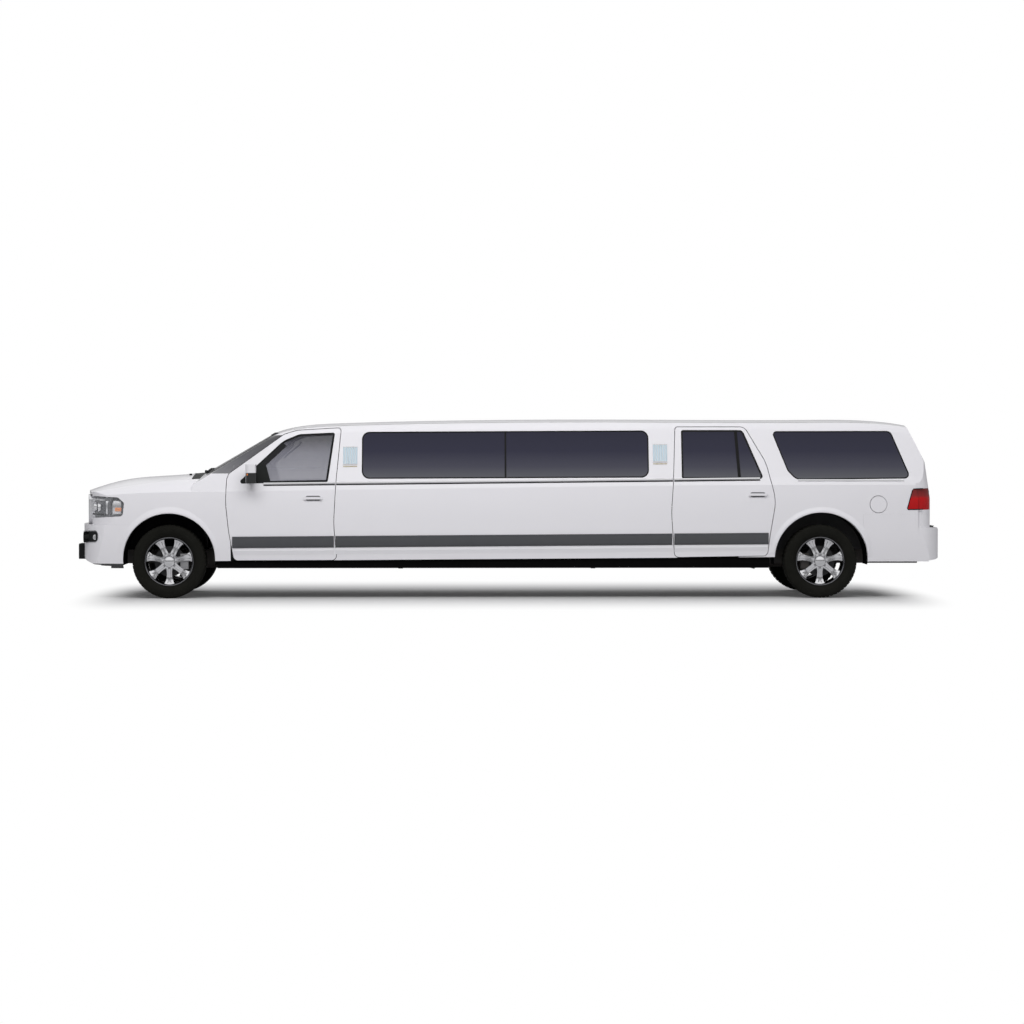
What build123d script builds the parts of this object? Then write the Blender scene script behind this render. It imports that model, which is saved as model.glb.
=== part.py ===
"""Stretch limousine on a full-size SUV: every panel, glass, wheel and running-gear piece as its own solid.

Millimetres. +X runs rearward, +Y to the vehicle's right, +Z up; the floor is Z = 0 and the origin is the
middle of the overall length. Lengths along X are given from the front axle (front half) or from the rear
axle (rear half), so a change of wheelbase stretches only the middle.
"""
import os
from math import cos, pi, radians, sin, sqrt, tan

from build123d import *

os.makedirs("parts", exist_ok=True)

# ---------------------------------------------------------------- driving dimensions
WHEELBASE = 7177
FRONT_OVERHANG = 1019          # front axle to the bumper's nose
REAR_OVERHANG = 1385           # rear axle to the rear bumper
PLATE_STANDOFF = 65            # number-plate bracket in front of the bumper
OVERALL = PLATE_STANDOFF + FRONT_OVERHANG + WHEELBASE + REAR_OVERHANG
FRONT_AXLE = -OVERALL / 2 + PLATE_STANDOFF + FRONT_OVERHANG
REAR_AXLE = FRONT_AXLE + WHEELBASE

HALF_WIDTH = 1000
UNDER_INSET = 46               # tuck-under at the rocker's lower edge, from the widest line
CREASE_INSET = 14
BELT_INSET = 44
SILL_Z = 413                   # at the front door's leading edge; the lines below rise rearward
SILL_RISE = 0.0065             # rise for each mm of length
WIDEST_Z = 960
CREASE_Z = 1177
CREASE_RISE = 0.0136
BELT_Z = 1292
BELT_RISE = 0.009
LEAN = 15.5                    # tumblehome of the side glass from the vertical, degrees
ROOF_EDGE_RADIUS = 105
CROWN_ANGLE = 6                # slope of the roof crown at its outer edge, degrees

SKIN = 20                      # outer layer of a door, which covers the gap's step
DOOR_WALL = 88                 # whole door or wall below the belt
FRAME_WALL = 46                # window frames and pillars
ROOF_WALL = 45
PANEL_GAP = 7
SHUT_STEP = 24                 # a door's inner box stands this far inside its outer skin's edge
GLASS_DEPTH = 8
GLASS = 5
SEAT_FIT = 0.3                 # fit of glass and lamps in their openings

TYRE_RADIUS = 405
TYRE_WIDTH = 275
RIM_RADIUS = 268
TRACK = 1700
HUB_Y = TRACK / 2
STEER_LIMIT = 35
KINGPIN_Y = HUB_Y - 55
FRONT_ARCH = 507
REAR_ARCH = 515
ARCH_RISE = 22                 # arch centre above the axle
WELL_INNER_Y = 470             # how far inboard the wheel wells reach
LINER = 6

FLOOR_TOP = 545
FLOOR_PLATE = 20
SILL_BOX_OUTER = 860
ROCKER_BOTTOM = 332
ROOF_HALF = 685                # half width of the roof panel between its two ditches

BUMPER_TOP_Z = 811
REAR_STEP_Z = 776
HOOD_HALF = 745
HOOD_REAR = 232                # behind the front axle
HOOD_FRONT = -893
FASCIA_SETBACK = 62            # upper fascia behind the bumper's nose
TAIL_CORNER = 150
TAIL_SET = 1226                # body's corner behind the rear axle, at the tail lamp
TAIL_BOW = 60                  # the rear face bows out by this at the centre
TAIL_FOLDS = [(0, 0), (1100, 0.15), (1500, 0.50)]  # height and forward lean of the rear face above it
TAIL_TOP = 2100
SCREEN_BASE = 428              # windscreen's foot behind the front axle, on the centre line
SCREEN_BASE_Z = 1423
SCREEN_SLOPE = 0.585
SCREEN_RADIUS = 3600
SCREEN_GLASS = 6

# ---------------------------------------------------------------- small tools
def front(x):
    return FRONT_AXLE + x


def rear(x):
    return REAR_AXLE + x


def in_xz(a, b):
    return Vector(a, 0, b)


def in_yz(a, b):
    return Vector(0, a, b)


def in_xy(a, b):
    return Vector(a, b, 0)


def path_edges(rows, place):
    """Edges of a closed outline; a row is (a, b) for a corner or (a, b, "via") for a point on an arc."""
    corners = [i for i, row in enumerate(rows) if len(row) == 2]
    edges = []
    for here, following in zip(corners, corners[1:] + corners[:1]):
        start, end = place(*rows[here]), place(*rows[following])
        between = (here + 1) % len(rows)
        if len(rows[between]) == 3:
            edges.append(Edge.make_three_point_arc(start, place(*rows[between][:2]), end))
        else:
            edges.append(Edge.make_line(start, end))
    return edges


def outline(rows, place):
    return Wire(path_edges(rows, place))


def rounded(rows, place):
    """Closed outline with filleted corners; a row is (a, b, radius)."""
    points = [Vector(a, b, 0) for a, b, _ in rows]
    path = []
    for i, (a, b, radius) in enumerate(rows):
        here, before, after = points[i], points[i - 1], points[(i + 1) % len(points)]
        to_before, to_after = (before - here).normalized(), (after - here).normalized()
        half = radians(to_before.get_angle(to_after)) / 2
        if radius == 0 or half > pi / 2 - 0.002:
            path.append((a, b))
            continue
        reach = radius / tan(half)
        middle = here + (to_before + to_after).normalized() * (radius / sin(half) - radius)
        start, end = here + to_before * reach, here + to_after * reach
        path += [(start.X, start.Y), (middle.X, middle.Y, "via"), (end.X, end.Y)]
    return outline(path, place)


def across(wire, low, high):
    """Prism of an XZ outline between two values of Y."""
    face = Face(wire).moved(Location((0, low, 0)))
    return Solid.extrude(face, Vector(0, high - low, 0))


def along(wire, low, high):
    """Prism of a YZ outline between two values of X."""
    face = Face(wire).moved(Location((low, 0, 0)))
    return Solid.extrude(face, Vector(high - low, 0, 0))


def upward(wire, low, high, lean=0):
    """Prism of an XY outline between two heights; it shifts along X by lean for each mm of height."""
    face = Face(wire).moved(Location((0, 0, low)))
    return Solid.extrude(face, Vector(lean * (high - low), 0, high - low))


def block(x0, x1, y0, y1, z0, z1):
    return Solid.make_box(x1 - x0, y1 - y0, z1 - z0).moved(Location((x0, y0, z0)))


def disc(x, z, radius, low, high):
    """Cylinder across the vehicle."""
    plane = Plane(origin=(x, low, z), x_dir=(1, 0, 0), z_dir=(0, 1, 0))
    return Solid.make_cylinder(radius, high - low, plane)


def rod(start, end, radius):
    start, end = Vector(*start), Vector(*end)
    plane = Plane(origin=start, z_dir=end - start)
    return Solid.make_cylinder(radius, (end - start).length, plane)


def mirrored(shape):
    return shape.mirror(Plane.XZ)


def fused(pieces):
    result = pieces[0]
    for piece in pieces[1:]:
        result = result + piece
    return result


# ---------------------------------------------------------------- body surfaces
DOOR_LEAD = front(626)         # foremost point of the front door


def sill_z(x):
    return SILL_Z + SILL_RISE * (x - DOOR_LEAD)


def crease_z(x):
    return CREASE_Z + CREASE_RISE * (min(x, rear(-1300)) - DOOR_LEAD)


def belt_z(x):
    return BELT_Z + BELT_RISE * (min(x, rear(-1300)) - DOOR_LEAD)


# centre line of the roof: x, z
ROOF_LINE = [
    (front(255), 1422), (front(1139), 1832), (front(1409), 1901), (front(1843), 1934), (front(2976), 1963),
    (rear(-2390), 1977), (rear(-125), 1973), (rear(781), 1950), (rear(982), 1922), (rear(1420), 1740),
]


def cabin_section(x, roof_z, low, up, top):
    """Cross-section of the cabin at x, each wall moved inward: low below the belt, up beside, top above."""
    lean, crown = radians(LEAN), radians(CROWN_ANGLE)
    radius = ROOF_EDGE_RADIUS - up
    belt_y, belt = HALF_WIDTH - BELT_INSET - up, belt_z(x)
    roof = roof_z - top
    rise = radius * (cos(crown) - sin(lean))
    narrowing = radius * (cos(lean) - sin(crown))
    half_crown = tan(crown / 2)
    eave_z = (roof - rise - half_crown * (belt_y + belt * tan(lean) - narrowing)) / (1 - half_crown * tan(lean))
    eave_y = belt_y - (eave_z - belt) * tan(lean)
    centre_y, centre_z = eave_y - radius * cos(lean), eave_z - radius * sin(lean)
    middle = Vector(cos(lean) + sin(crown), sin(lean) + cos(crown), 0).normalized() * radius
    edge_y, edge_z = centre_y + radius * sin(crown), centre_z + radius * cos(crown)
    right = [
        (HALF_WIDTH - UNDER_INSET - low, ROCKER_BOTTOM - low),
        (HALF_WIDTH - low, WIDEST_Z, "via"),
        (HALF_WIDTH - CREASE_INSET - low, crease_z(x)),
        (belt_y, belt),
        (eave_y, eave_z),
        (centre_y + middle.X, centre_z + middle.Y, "via"),
        (edge_y, edge_z),
    ]
    left = [(-row[0],) + row[1:] for row in reversed(right)]
    return outline(right + [(0, roof, "via")] + left, in_yz).moved(Location((x, 0, 0)))


def cabin(low, up, top):
    return Solid.make_loft([cabin_section(x, z, low, up, top) for x, z in ROOF_LINE])


# hood and fender sections: x, width lost, crease z, hood edge z, centre z
CLIP_LINE = [
    (DOOR_LEAD + 60, 0, crease_z(DOOR_LEAD), 1312, 1366), (front(80), 0, 1170, 1303, 1356),
    (front(-216), 6, 1163, 1276, 1337), (front(-489), 22, 1150, 1240, 1311),
    (front(-717), 48, 1130, 1200, 1263), (front(-1060), 100, 1080, 1110, 1150),
]


def clip_section(x, narrow, crease, edge, centre, wall):
    side = HALF_WIDTH - narrow - wall
    right = [
        (side - UNDER_INSET, ROCKER_BOTTOM - wall),
        (side, WIDEST_Z, "via"),
        (side - CREASE_INSET, crease - wall),
        ((side - CREASE_INSET + HOOD_HALF) / 2 + 18, (crease + edge) / 2 + 14 - wall, "via"),
        (HOOD_HALF - wall / 2, edge - wall),
    ]
    left = [(-row[0],) + row[1:] for row in reversed(right)]
    return outline(right + [(0, centre - wall, "via")] + left, in_yz).moved(Location((x, 0, 0)))


def clip(wall):
    return Solid.make_loft([clip_section(*row, wall) for row in CLIP_LINE])


def nose_plan(setback, x_back):
    """Plan of the nose, round at the corners and bowed at the front."""
    nose = front(-FRONT_OVERHANG) + setback
    half = [
        (x_back, HALF_WIDTH + 60), (nose + 378, HALF_WIDTH + 60), (nose + 378, 972),
        (nose + 164, 861, "via"), (nose + 68, 640),
    ]
    other = [(row[0], -row[1]) + row[2:] for row in reversed(half)]
    return outline(half + [(nose, 0, "via")] + other, in_xy)


def tail_plan(corner_x, side, corner, bow):
    """Plan of the tail: side, round corner and bowed rear face; corner_x is where the face begins."""
    half = [
        (rear(-200), HALF_WIDTH + 60), (corner_x - corner, HALF_WIDTH + 60), (corner_x - corner, side),
        (corner_x - corner * 0.27, side - corner * 0.24, "via"), (corner_x, side - corner),
    ]
    other = [(row[0], -row[1]) + row[2:] for row in reversed(half)]
    return outline(half + [(corner_x + bow, 0, "via")] + other, in_xy)


def body_tail_plan(inset):
    return tail_plan(rear(TAIL_SET) - inset, HALF_WIDTH - 22 - inset, TAIL_CORNER, TAIL_BOW)


def tail_volume(inset):
    """Everything ahead of the tail's surface, which leans further forward above each fold."""
    pieces = []
    shift = 0
    tops = [z for z, _ in TAIL_FOLDS[1:]] + [TAIL_TOP]
    for (low, lean), high in zip(TAIL_FOLDS, tops):
        piece = upward(body_tail_plan(inset), low, high, -lean)
        pieces.append(piece.moved(Location((shift, 0, 0))))
        shift -= lean * (high - low)
    ahead = block(front(-1300), rear(-100), -HALF_WIDTH - 60, HALF_WIDTH + 60, 0, TAIL_TOP)
    return fused([ahead] + pieces)


def screen_volume(inset):
    """Everything behind the windscreen's surface; the plan arc is carried along the glass's slope."""
    base = front(SCREEN_BASE) + inset
    half = 1100
    bow = half ** 2 / (2 * SCREEN_RADIUS)
    rows = [(base + bow, half), (rear(2600), half), (rear(2600), -half), (base + bow, -half), (base, 0, "via")]
    drop = SCREEN_BASE_Z - 300
    lower = upward(outline(rows, in_xy), 300, 2100, 1 / SCREEN_SLOPE)
    return lower.moved(Location((-drop / SCREEN_SLOPE, 0, 0)))


def cabin_body(low, up, top, tail, screen):
    return cabin(low, up, top) & tail_volume(tail) & screen_volume(screen)


def write(name, shape):
    export_step(shape, f"parts/{name}.step")


OUTER = cabin_body(0, 0, 0, 0, 0)
UNDER_SKIN = cabin_body(SKIN, SKIN, SKIN, SKIN, SKIN)
TAIL_WALL = 60
SCREEN_WALL = 60
INNER = cabin_body(DOOR_WALL, FRAME_WALL, ROOF_WALL, TAIL_WALL, SCREEN_WALL)
CLIP_WALL = 40
CLIP_REACH = front(700)
CLIP_SOLID = clip(0)
CLIP_HOLLOW = clip(CLIP_WALL)
FAR = 1200                     # past the body's side, for cutters


def half_body(shape):
    return shape & block(front(-1400), rear(1700), 1, FAR, 0, TAIL_TOP)


WALL_R = half_body(OUTER - INNER)
SKIN_R = half_body(OUTER - UNDER_SKIN) & block(front(-1400), rear(1700), 650, FAR, 0, TAIL_TOP)
SIDE_WALL_R = half_body(OUTER - cabin_body(DOOR_WALL, FRAME_WALL, ROOF_WALL, TAIL_WALL, 0))

# ---------------------------------------------------------------- door and window outlines: x, z, corner radius
FRONT_DOOR = [
    (front(715), 420, 50), (front(660), 731, 900), (front(626), 1050, 900), (front(635), 1310, 120),
    (front(660), 1372, 40), (front(1265), 1808, 160), (front(1406), 1848, 200), (front(1885), 1876, 30),
    (front(1831), 1292, 900), (front(1805), 830, 1200), (front(1841), 423, 50),
]
FRONT_WINDOW = [
    (front(745), 1262, 24), (front(1250), 1735, 300), (front(1425), 1808, 140), (front(1822), 1827, 24),
    (front(1744), 1280, 24),
]
REAR_DOOR = [
    (rear(-1608), 452, 50), (rear(-1645), 940, 1200), (rear(-1620), 1300, 900), (rear(-1595), 1886, 30),
    (rear(-830), 1886, 90), (rear(-603), 1495, 500), (rear(-497), 1076, 500), (rear(-557), 720, 700),
    (rear(-590), 467, 50),
]
REAR_WINDOW = [
    (rear(-1532), 1314, 24), (rear(-1532), 1854, 24), (rear(-850), 1854, 60), (rear(-623), 1314, 30),
]
MIDDLE_WINDOW = [
    (front(2117), 1315, 85), (front(2117), 1834, 85), (rear(-1893), 1850, 85), (rear(-1893), 1328, 85),
]
QUARTER_WINDOW = [
    (rear(-532), 1842, 40), (rear(793), 1845, 70), (rear(1005), 1318, 50), (rear(-268), 1303, 120),
    (rear(-363), 1402, 120),
]
HEADLAMP = [
    (front(-845), 1127, 20), (front(-560), 1112, 40), (front(-490), 1052, 40), (front(-506), 905, 40),
    (front(-960), 878, 10), (front(-960), 1060, 10),
]
TAIL_LAMP = [
    (rear(1016), 1204, 30), (rear(1300), 1216, 0), (rear(1300), 975, 0), (rear(953), 973, 20),
]


def side_prism(rows, low=100, high=FAR, grow=0.0):
    """Prism of a side outline on the right-hand side, grown or shrunk all round."""
    wire = rounded(rows, in_xz)
    if grow:
        wire = offset(Face(wire), amount=grow, kind=Kind.INTERSECTION).face().outer_wire()
    return across(wire, low, high)


def sheet_between(outer_depth, inner_depth):
    """Right-hand layer of the cabin's side between two depths, for the window glass."""
    shallow = cabin(outer_depth, outer_depth, outer_depth)
    deep = cabin(inner_depth, inner_depth, inner_depth)
    return half_body(shallow - deep)


GLASS_SHEET = sheet_between(GLASS_DEPTH, GLASS_DEPTH + GLASS)


def pane(rows):
    return GLASS_SHEET & side_prism(rows, grow=-SEAT_FIT)


# ---------------------------------------------------------------- doors
HINGE_Y = HALF_WIDTH - 9
HINGE_SET = 40                 # hinge line behind the door's foremost point
FRONT_HINGE_X = DOOR_LEAD + HINGE_SET
REAR_HINGE_X = rear(-1641) + HINGE_SET
HANDLES = {"front": (front(1584), 1104), "rear": (rear(-695), 1142)}
HANDLE_SIZE = (200, 30, 26)    # length, stand-off, height
MIRROR = (front(905), 1372)    # centre of the mirror housing
MIRROR_SIZE = (120, 175, 205)


def handle(x, z):
    """Bar pull handle on two feet."""
    length, stand, height = HANDLE_SIZE
    surface = HALF_WIDTH - 30
    bar = block(x - length / 2, x + length / 2, surface + stand, surface + stand + 18, z - height / 2, z + height / 2)
    feet = [
        block(x + side * length * 0.38 - 14, x + side * length * 0.38 + 14, surface - 30, surface + stand + 9,
              z - height * 0.4, z + height * 0.4)
        for side in (-1, 1)
    ]
    return fused([bar] + feet)


HINGE_HEIGHTS = (850, 1010)
HINGE_PIN = 4
PIN_FIT = 0.3                  # radial clearance of every pin in its bore
HINGE_NECK = 60                # the hinge arm runs this far inboard before it turns forward
HINGE_ROOM = (74, 14)          # radius and half height of the pocket in the door
HINGE_POCKET_Y = HINGE_Y + 5   # the pocket leaves the door's outermost skin whole


def hinge_arms(hinge_x, foot):
    """Goose-neck arms and pins on the body, two to a door; foot is (x, y) where the arm is fixed."""
    pieces = []
    for z in HINGE_HEIGHTS:
        neck = (hinge_x, HINGE_Y - HINGE_NECK, z)
        pieces.append(rod((hinge_x, HINGE_Y, z - 5), (hinge_x, HINGE_Y, z + 44), HINGE_PIN))
        pieces.append(rod((hinge_x, HINGE_Y, z), neck, 5))
        pieces.append(Solid.make_sphere(5.0, Plane(origin=neck), -90, 90, 360))
        pieces.append(rod(neck, (*foot, z), 5))
    return pieces


def hinge_room(hinge_x):
    """Pocket and pin bores cut from a door round its hinges."""
    radius, half = HINGE_ROOM
    cuts = []
    for z in HINGE_HEIGHTS:
        pocket = Solid.make_cylinder(radius, 2 * half, Plane(origin=(hinge_x, HINGE_Y, z - half)))
        cuts.append(pocket & block(hinge_x - 100, hinge_x + 100, 600, HINGE_POCKET_Y, 0, TAIL_TOP))
        cuts.append(rod((hinge_x, HINGE_Y, z), (hinge_x, HINGE_Y, z + 45), HINGE_PIN + PIN_FIT))
    return fused(cuts)


DOOR_LOW_Y = ROOF_HALF + PANEL_GAP


def door(rows, window, name, hinge_x):
    skin = SKIN_R & side_prism(rows, low=DOOR_LOW_Y)
    box = SIDE_WALL_R & side_prism(rows, low=DOOR_LOW_Y, grow=-SHUT_STEP)
    shell = skin + box - side_prism(window)
    return shell + handle(*HANDLES[name]) - hinge_room(hinge_x)


FRONT_DOOR_R = door(FRONT_DOOR, FRONT_WINDOW, "front", FRONT_HINGE_X)
REAR_DOOR_R = door(REAR_DOOR, REAR_WINDOW, "rear", REAR_HINGE_X)
FRONT_PANE_R = pane(FRONT_WINDOW)
REAR_PANE_R = pane(REAR_WINDOW)
FRONT_APERTURE_R = side_prism(FRONT_DOOR, grow=PANEL_GAP)
REAR_APERTURE_R = side_prism(REAR_DOOR, grow=PANEL_GAP)


def mirror_housing():
    """Outside mirror: a rounded shell on an arm from the door's front corner."""
    x, z = MIRROR
    depth, wide, high = MIRROR_SIZE
    inner_y = HALF_WIDTH + 10
    rows = [(x - depth / 2, inner_y + 40, 30), (x - depth * 0.4, inner_y + wide, 50),
            (x + depth / 2, inner_y + wide, 20), (x + depth / 2, inner_y, 20)]
    shell = upward(rounded(rows, in_xy), z - high / 2, z + high / 2)
    hollow = block(x + depth / 2 - 12, x + depth / 2 + 5, inner_y + 16, inner_y + wide - 16, z - high / 2 + 16,
                   z + high / 2 - 16)
    arm = block(x - 30, x + 40, HALF_WIDTH - 58, inner_y + 50, z - high / 2 + 6, z - high / 2 + 66)
    return shell + arm - hollow - OUTER


MIRROR_R = mirror_housing()
write("door_front_right", FRONT_DOOR_R)
write("door_front_left", mirrored(FRONT_DOOR_R))
write("door_rear_right", REAR_DOOR_R)
write("door_rear_left", mirrored(REAR_DOOR_R))
write("glass_front_right", FRONT_PANE_R)
write("glass_front_left", mirrored(FRONT_PANE_R))
write("glass_rear_right", REAR_PANE_R)
write("glass_rear_left", mirrored(REAR_PANE_R))
write("mirror_right", MIRROR_R)
write("mirror_left", mirrored(MIRROR_R))

# ---------------------------------------------------------------- side, quarter, roof
SEAM = 0.3                     # fit between fixed panels
LIFT_HALF = 742
LIFT_TOP_Z = 1884
LIFT_GAP_TOP = 14
LIFT_BOTTOM_Z = REAR_STEP_Z + 16
LIFTGATE = [
    (-LIFT_HALF, LIFT_BOTTOM_Z, 40), (-LIFT_HALF, 1240, 200), (-LIFT_HALF + 110, LIFT_TOP_Z, 60),
    (LIFT_HALF - 110, LIFT_TOP_Z, 60), (LIFT_HALF, 1240, 200), (LIFT_HALF, LIFT_BOTTOM_Z, 40),
]
LIFT_WINDOW = [
    (-640, 1330, 60), (-560, 1800, 60), (560, 1800, 60), (640, 1330, 60),
]
LIFT_FROM = rear(820)


def gate_prism(grow=0.0):
    wire = rounded(LIFTGATE, in_yz)
    if grow:
        wire = offset(Face(wire), amount=grow, kind=Kind.INTERSECTION).face().outer_wire()
    return along(wire, LIFT_FROM, rear(1800))


TOP_SLOT = block(LIFT_FROM, rear(1800), -LIFT_HALF + 120, LIFT_HALF - 120, LIFT_TOP_Z - 50, LIFT_TOP_Z + LIFT_GAP_TOP)
GATE_APERTURE = gate_prism(PANEL_GAP) + TOP_SLOT


def below_line(z_front, z_rear, x0, x1, bottom=-50):
    """Prism under a sloping line, across the whole width."""
    rows = [(x0, bottom), (x0, z_front), (x1, z_rear), (x1, bottom)]
    return across(outline(rows, in_xz), -FAR, FAR)


def under(line):
    """Everything under a line along the body's side."""
    x0, x1 = front(-1500), rear(1900)
    xm = rear(-1300)
    rows = [(x0, -50), (x0, line(x0)), (xm, line(xm)), (x1, line(x1)), (x1, -50)]
    return across(outline(rows, in_xz), -FAR, FAR)


ROOF_FRONT = front(1330)
PILLAR_END = front(1500)       # the windscreen frame ends here above the door


def roof_zone(fit):
    """Room of the roof panel: between its ditches, and above the liftgate at the tail."""
    half, ahead = ROOF_HALF + fit, rear(600)
    main = block(ROOF_FRONT - fit, ahead, -half, half, 1700, TAIL_TOP)
    return main + block(ahead - 1, rear(1900), -half, half, LIFT_TOP_Z + LIFT_GAP_TOP - fit, TAIL_TOP)


ROOF = (OUTER - INNER) & roof_zone(0)
BESIDE_ROOF = roof_zone(SEAM)
BELOW_SILL = under(sill_z)

SIDE_START = PILLAR_END + SEAM
SIDE_END = rear(-1580)
SIDE_REGION = block(SIDE_START, SIDE_END, 100, FAR, 0, TAIL_TOP)
SIDE_R = (WALL_R & SIDE_REGION) - BESIDE_ROOF - BELOW_SILL - FRONT_APERTURE_R - REAR_APERTURE_R
REAR_HINGES_R = hinge_arms(REAR_HINGE_X, (REAR_HINGE_X - 75, HINGE_Y - HINGE_NECK))
SIDE_R = fused([SIDE_R - side_prism(MIDDLE_WINDOW), *REAR_HINGES_R])
SIDE_PANE_R = pane(MIDDLE_WINDOW)

ARCH_X = {"front": FRONT_AXLE, "rear": REAR_AXLE + 10}
REAR_WELL = disc(ARCH_X["rear"], TYRE_RADIUS + ARCH_RISE, REAR_ARCH, WELL_INNER_Y, FAR)
FRONT_WELL = disc(ARCH_X["front"], TYRE_RADIUS + ARCH_RISE, FRONT_ARCH, WELL_INNER_Y, FAR)

LINER_OUTER_Y = {"front": HALF_WIDTH - 62, "rear": HALF_WIDTH - 92}
FRONT_LINER_ROOM, REAR_LINER_ROOM = (
    disc(ARCH_X[end], TYRE_RADIUS + ARCH_RISE, arch + LINER, WELL_INNER_Y, LINER_OUTER_Y[end] + 1)
    for end, arch in (("front", FRONT_ARCH), ("rear", REAR_ARCH)))


def both(piece):
    """A right-hand piece and its mirror image."""
    return [*piece.solids(), *mirrored(piece).solids()]


# rear bumper: a wrap-round cover with a step behind the tailgate
BUMPER_SIDE_Z = 926
BUMPER_LOW_Z = 402
BUMPER_WALL = 50
BUMPER_FACE = REAR_OVERHANG - TAIL_BOW
BUMPER_CORNER = 240
BUMPER_START = rear(470)


def bumper_volume(inset, drop):
    plan = tail_plan(rear(BUMPER_FACE) - inset, HALF_WIDTH - 8 - inset, BUMPER_CORNER, TAIL_BOW)
    low = upward(plan, BUMPER_LOW_Z - drop, REAR_STEP_Z - inset)
    high = upward(body_tail_plan(inset), BUMPER_LOW_Z - drop, BUMPER_SIDE_Z + drop)
    behind = block(BUMPER_START, rear(1800), -FAR, FAR, 0, TAIL_TOP)
    return (low + high) & behind


STEP_SLOPE = [
    (rear(BUMPER_FACE - 25), REAR_STEP_Z + 8), (rear(BUMPER_FACE + TAIL_BOW + 8), 664),
    (rear(1700), 664), (rear(1700), REAR_STEP_Z + 8),
]
REAR_BUMPER = cabin(0, 0, 0) & bumper_volume(0, 0)
REAR_BUMPER = REAR_BUMPER - (cabin(BUMPER_WALL, BUMPER_WALL, BUMPER_WALL) & bumper_volume(BUMPER_WALL, 60))
REAR_BUMPER = REAR_BUMPER - REAR_WELL - mirrored(REAR_WELL) - GATE_APERTURE - fused(both(REAR_LINER_ROOM))
REAR_BUMPER = REAR_BUMPER - across(outline(STEP_SLOPE, in_xz), -FAR, FAR)
TAIL_CHIN = [
    (rear(1440), 300), (rear(1440), 530), (rear(1375), 505), (rear(1348), 452), (rear(1285), 425), (rear(1200), 412),
    (rear(1200), 300),
]
REAR_BUMPER = REAR_BUMPER - across(outline(TAIL_CHIN, in_xz), -FAR, FAR)
BUMPER_ZONE = block(BUMPER_START, rear(1900), -FAR, FAR, 0, BUMPER_SIDE_Z + SEAM)
REAR_BUMPER = REAR_BUMPER - block(rear(-600), BUMPER_START + 1, -FAR, FAR, 0, TAIL_TOP)

FUEL = (rear(638), 1034, 91)   # centre and radius of the fuel door
LAMP_CUT_R = side_prism(TAIL_LAMP, low=760)
FUEL_HOLE = disc(FUEL[0], FUEL[1], FUEL[2] + 6, -FAR, -700)
QUARTER_REGION = block(rear(-900), rear(1900), 100, FAR, 0, TAIL_TOP) + block(
    SIDE_END + SEAM, rear(-899), 100, FAR, 1700, TAIL_TOP)


QUARTER_R = (WALL_R & QUARTER_REGION) - BESIDE_ROOF - BELOW_SILL - REAR_APERTURE_R - REAR_WELL - REAR_LINER_ROOM
QUARTER_R = QUARTER_R - side_prism(QUARTER_WINDOW) - BUMPER_ZONE - GATE_APERTURE - LAMP_CUT_R
QUARTER_WHOLE_L = mirrored(QUARTER_R)
SKIN_L = mirrored(SKIN_R)
filler_ledge = disc(FUEL[0], FUEL[1], FUEL[2] + 12, -FAR, -700)
filler_ledge = filler_ledge & block(FUEL[0] + 50, FUEL[0] + 200, -FAR, 0, 0, TAIL_TOP)
filler_ledge = (QUARTER_WHOLE_L & filler_ledge) - SKIN_L - SKIN_L.moved(Location((0, SEAM, 0)))
QUARTER_L = QUARTER_WHOLE_L - FUEL_HOLE + (filler_ledge - disc(FUEL[0], FUEL[1], FUEL[2] - 30, -FAR, -700))
QUARTER_PANE_R = pane(QUARTER_WINDOW)
TAIL_LAMP_R = (WALL_R & side_prism(TAIL_LAMP, low=760, grow=-SEAT_FIT)) - GATE_APERTURE - BUMPER_ZONE

FUEL_DOOR = SKIN_L & disc(FUEL[0], FUEL[1], FUEL[2], -FAR, -700)
write("roof", ROOF)
write("side_panel_right", SIDE_R)
write("side_panel_left", mirrored(SIDE_R))
write("quarter_panel_right", QUARTER_R)
write("quarter_panel_left", QUARTER_L)
write("rear_bumper", REAR_BUMPER)
write("tail_lamps", Compound([*TAIL_LAMP_R.solids(), *mirrored(TAIL_LAMP_R).solids()]))
write("fuel_door", FUEL_DOOR)
FIXED = [SIDE_PANE_R, QUARTER_PANE_R]
write("fixed_side_glass", Compound([
    glass for pane_r in FIXED for glass in (*pane_r.solids(), *mirrored(pane_r).solids())]))

# ---------------------------------------------------------------- liftgate
GATE_SHELL = (OUTER - INNER) & gate_prism()
LIFT_WINDOW_PRISM = along(rounded(LIFT_WINDOW, in_yz), LIFT_FROM, rear(1800))
LIFTGATE_PANEL = GATE_SHELL - LIFT_WINDOW_PRISM
GATE_OUTER_GLASS = cabin_body(0, 0, 0, GLASS_DEPTH, 0)
GATE_INNER_GLASS = cabin_body(0, 0, 0, GLASS_DEPTH + GLASS, 0)
GATE_GLASS = (GATE_OUTER_GLASS - GATE_INNER_GLASS) & along(
    offset(Face(rounded(LIFT_WINDOW, in_yz)), amount=-SEAT_FIT, kind=Kind.INTERSECTION).face().outer_wire(),
    LIFT_FROM, rear(1800))
write("liftgate", LIFTGATE_PANEL)
write("liftgate_glass", GATE_GLASS)

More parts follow.
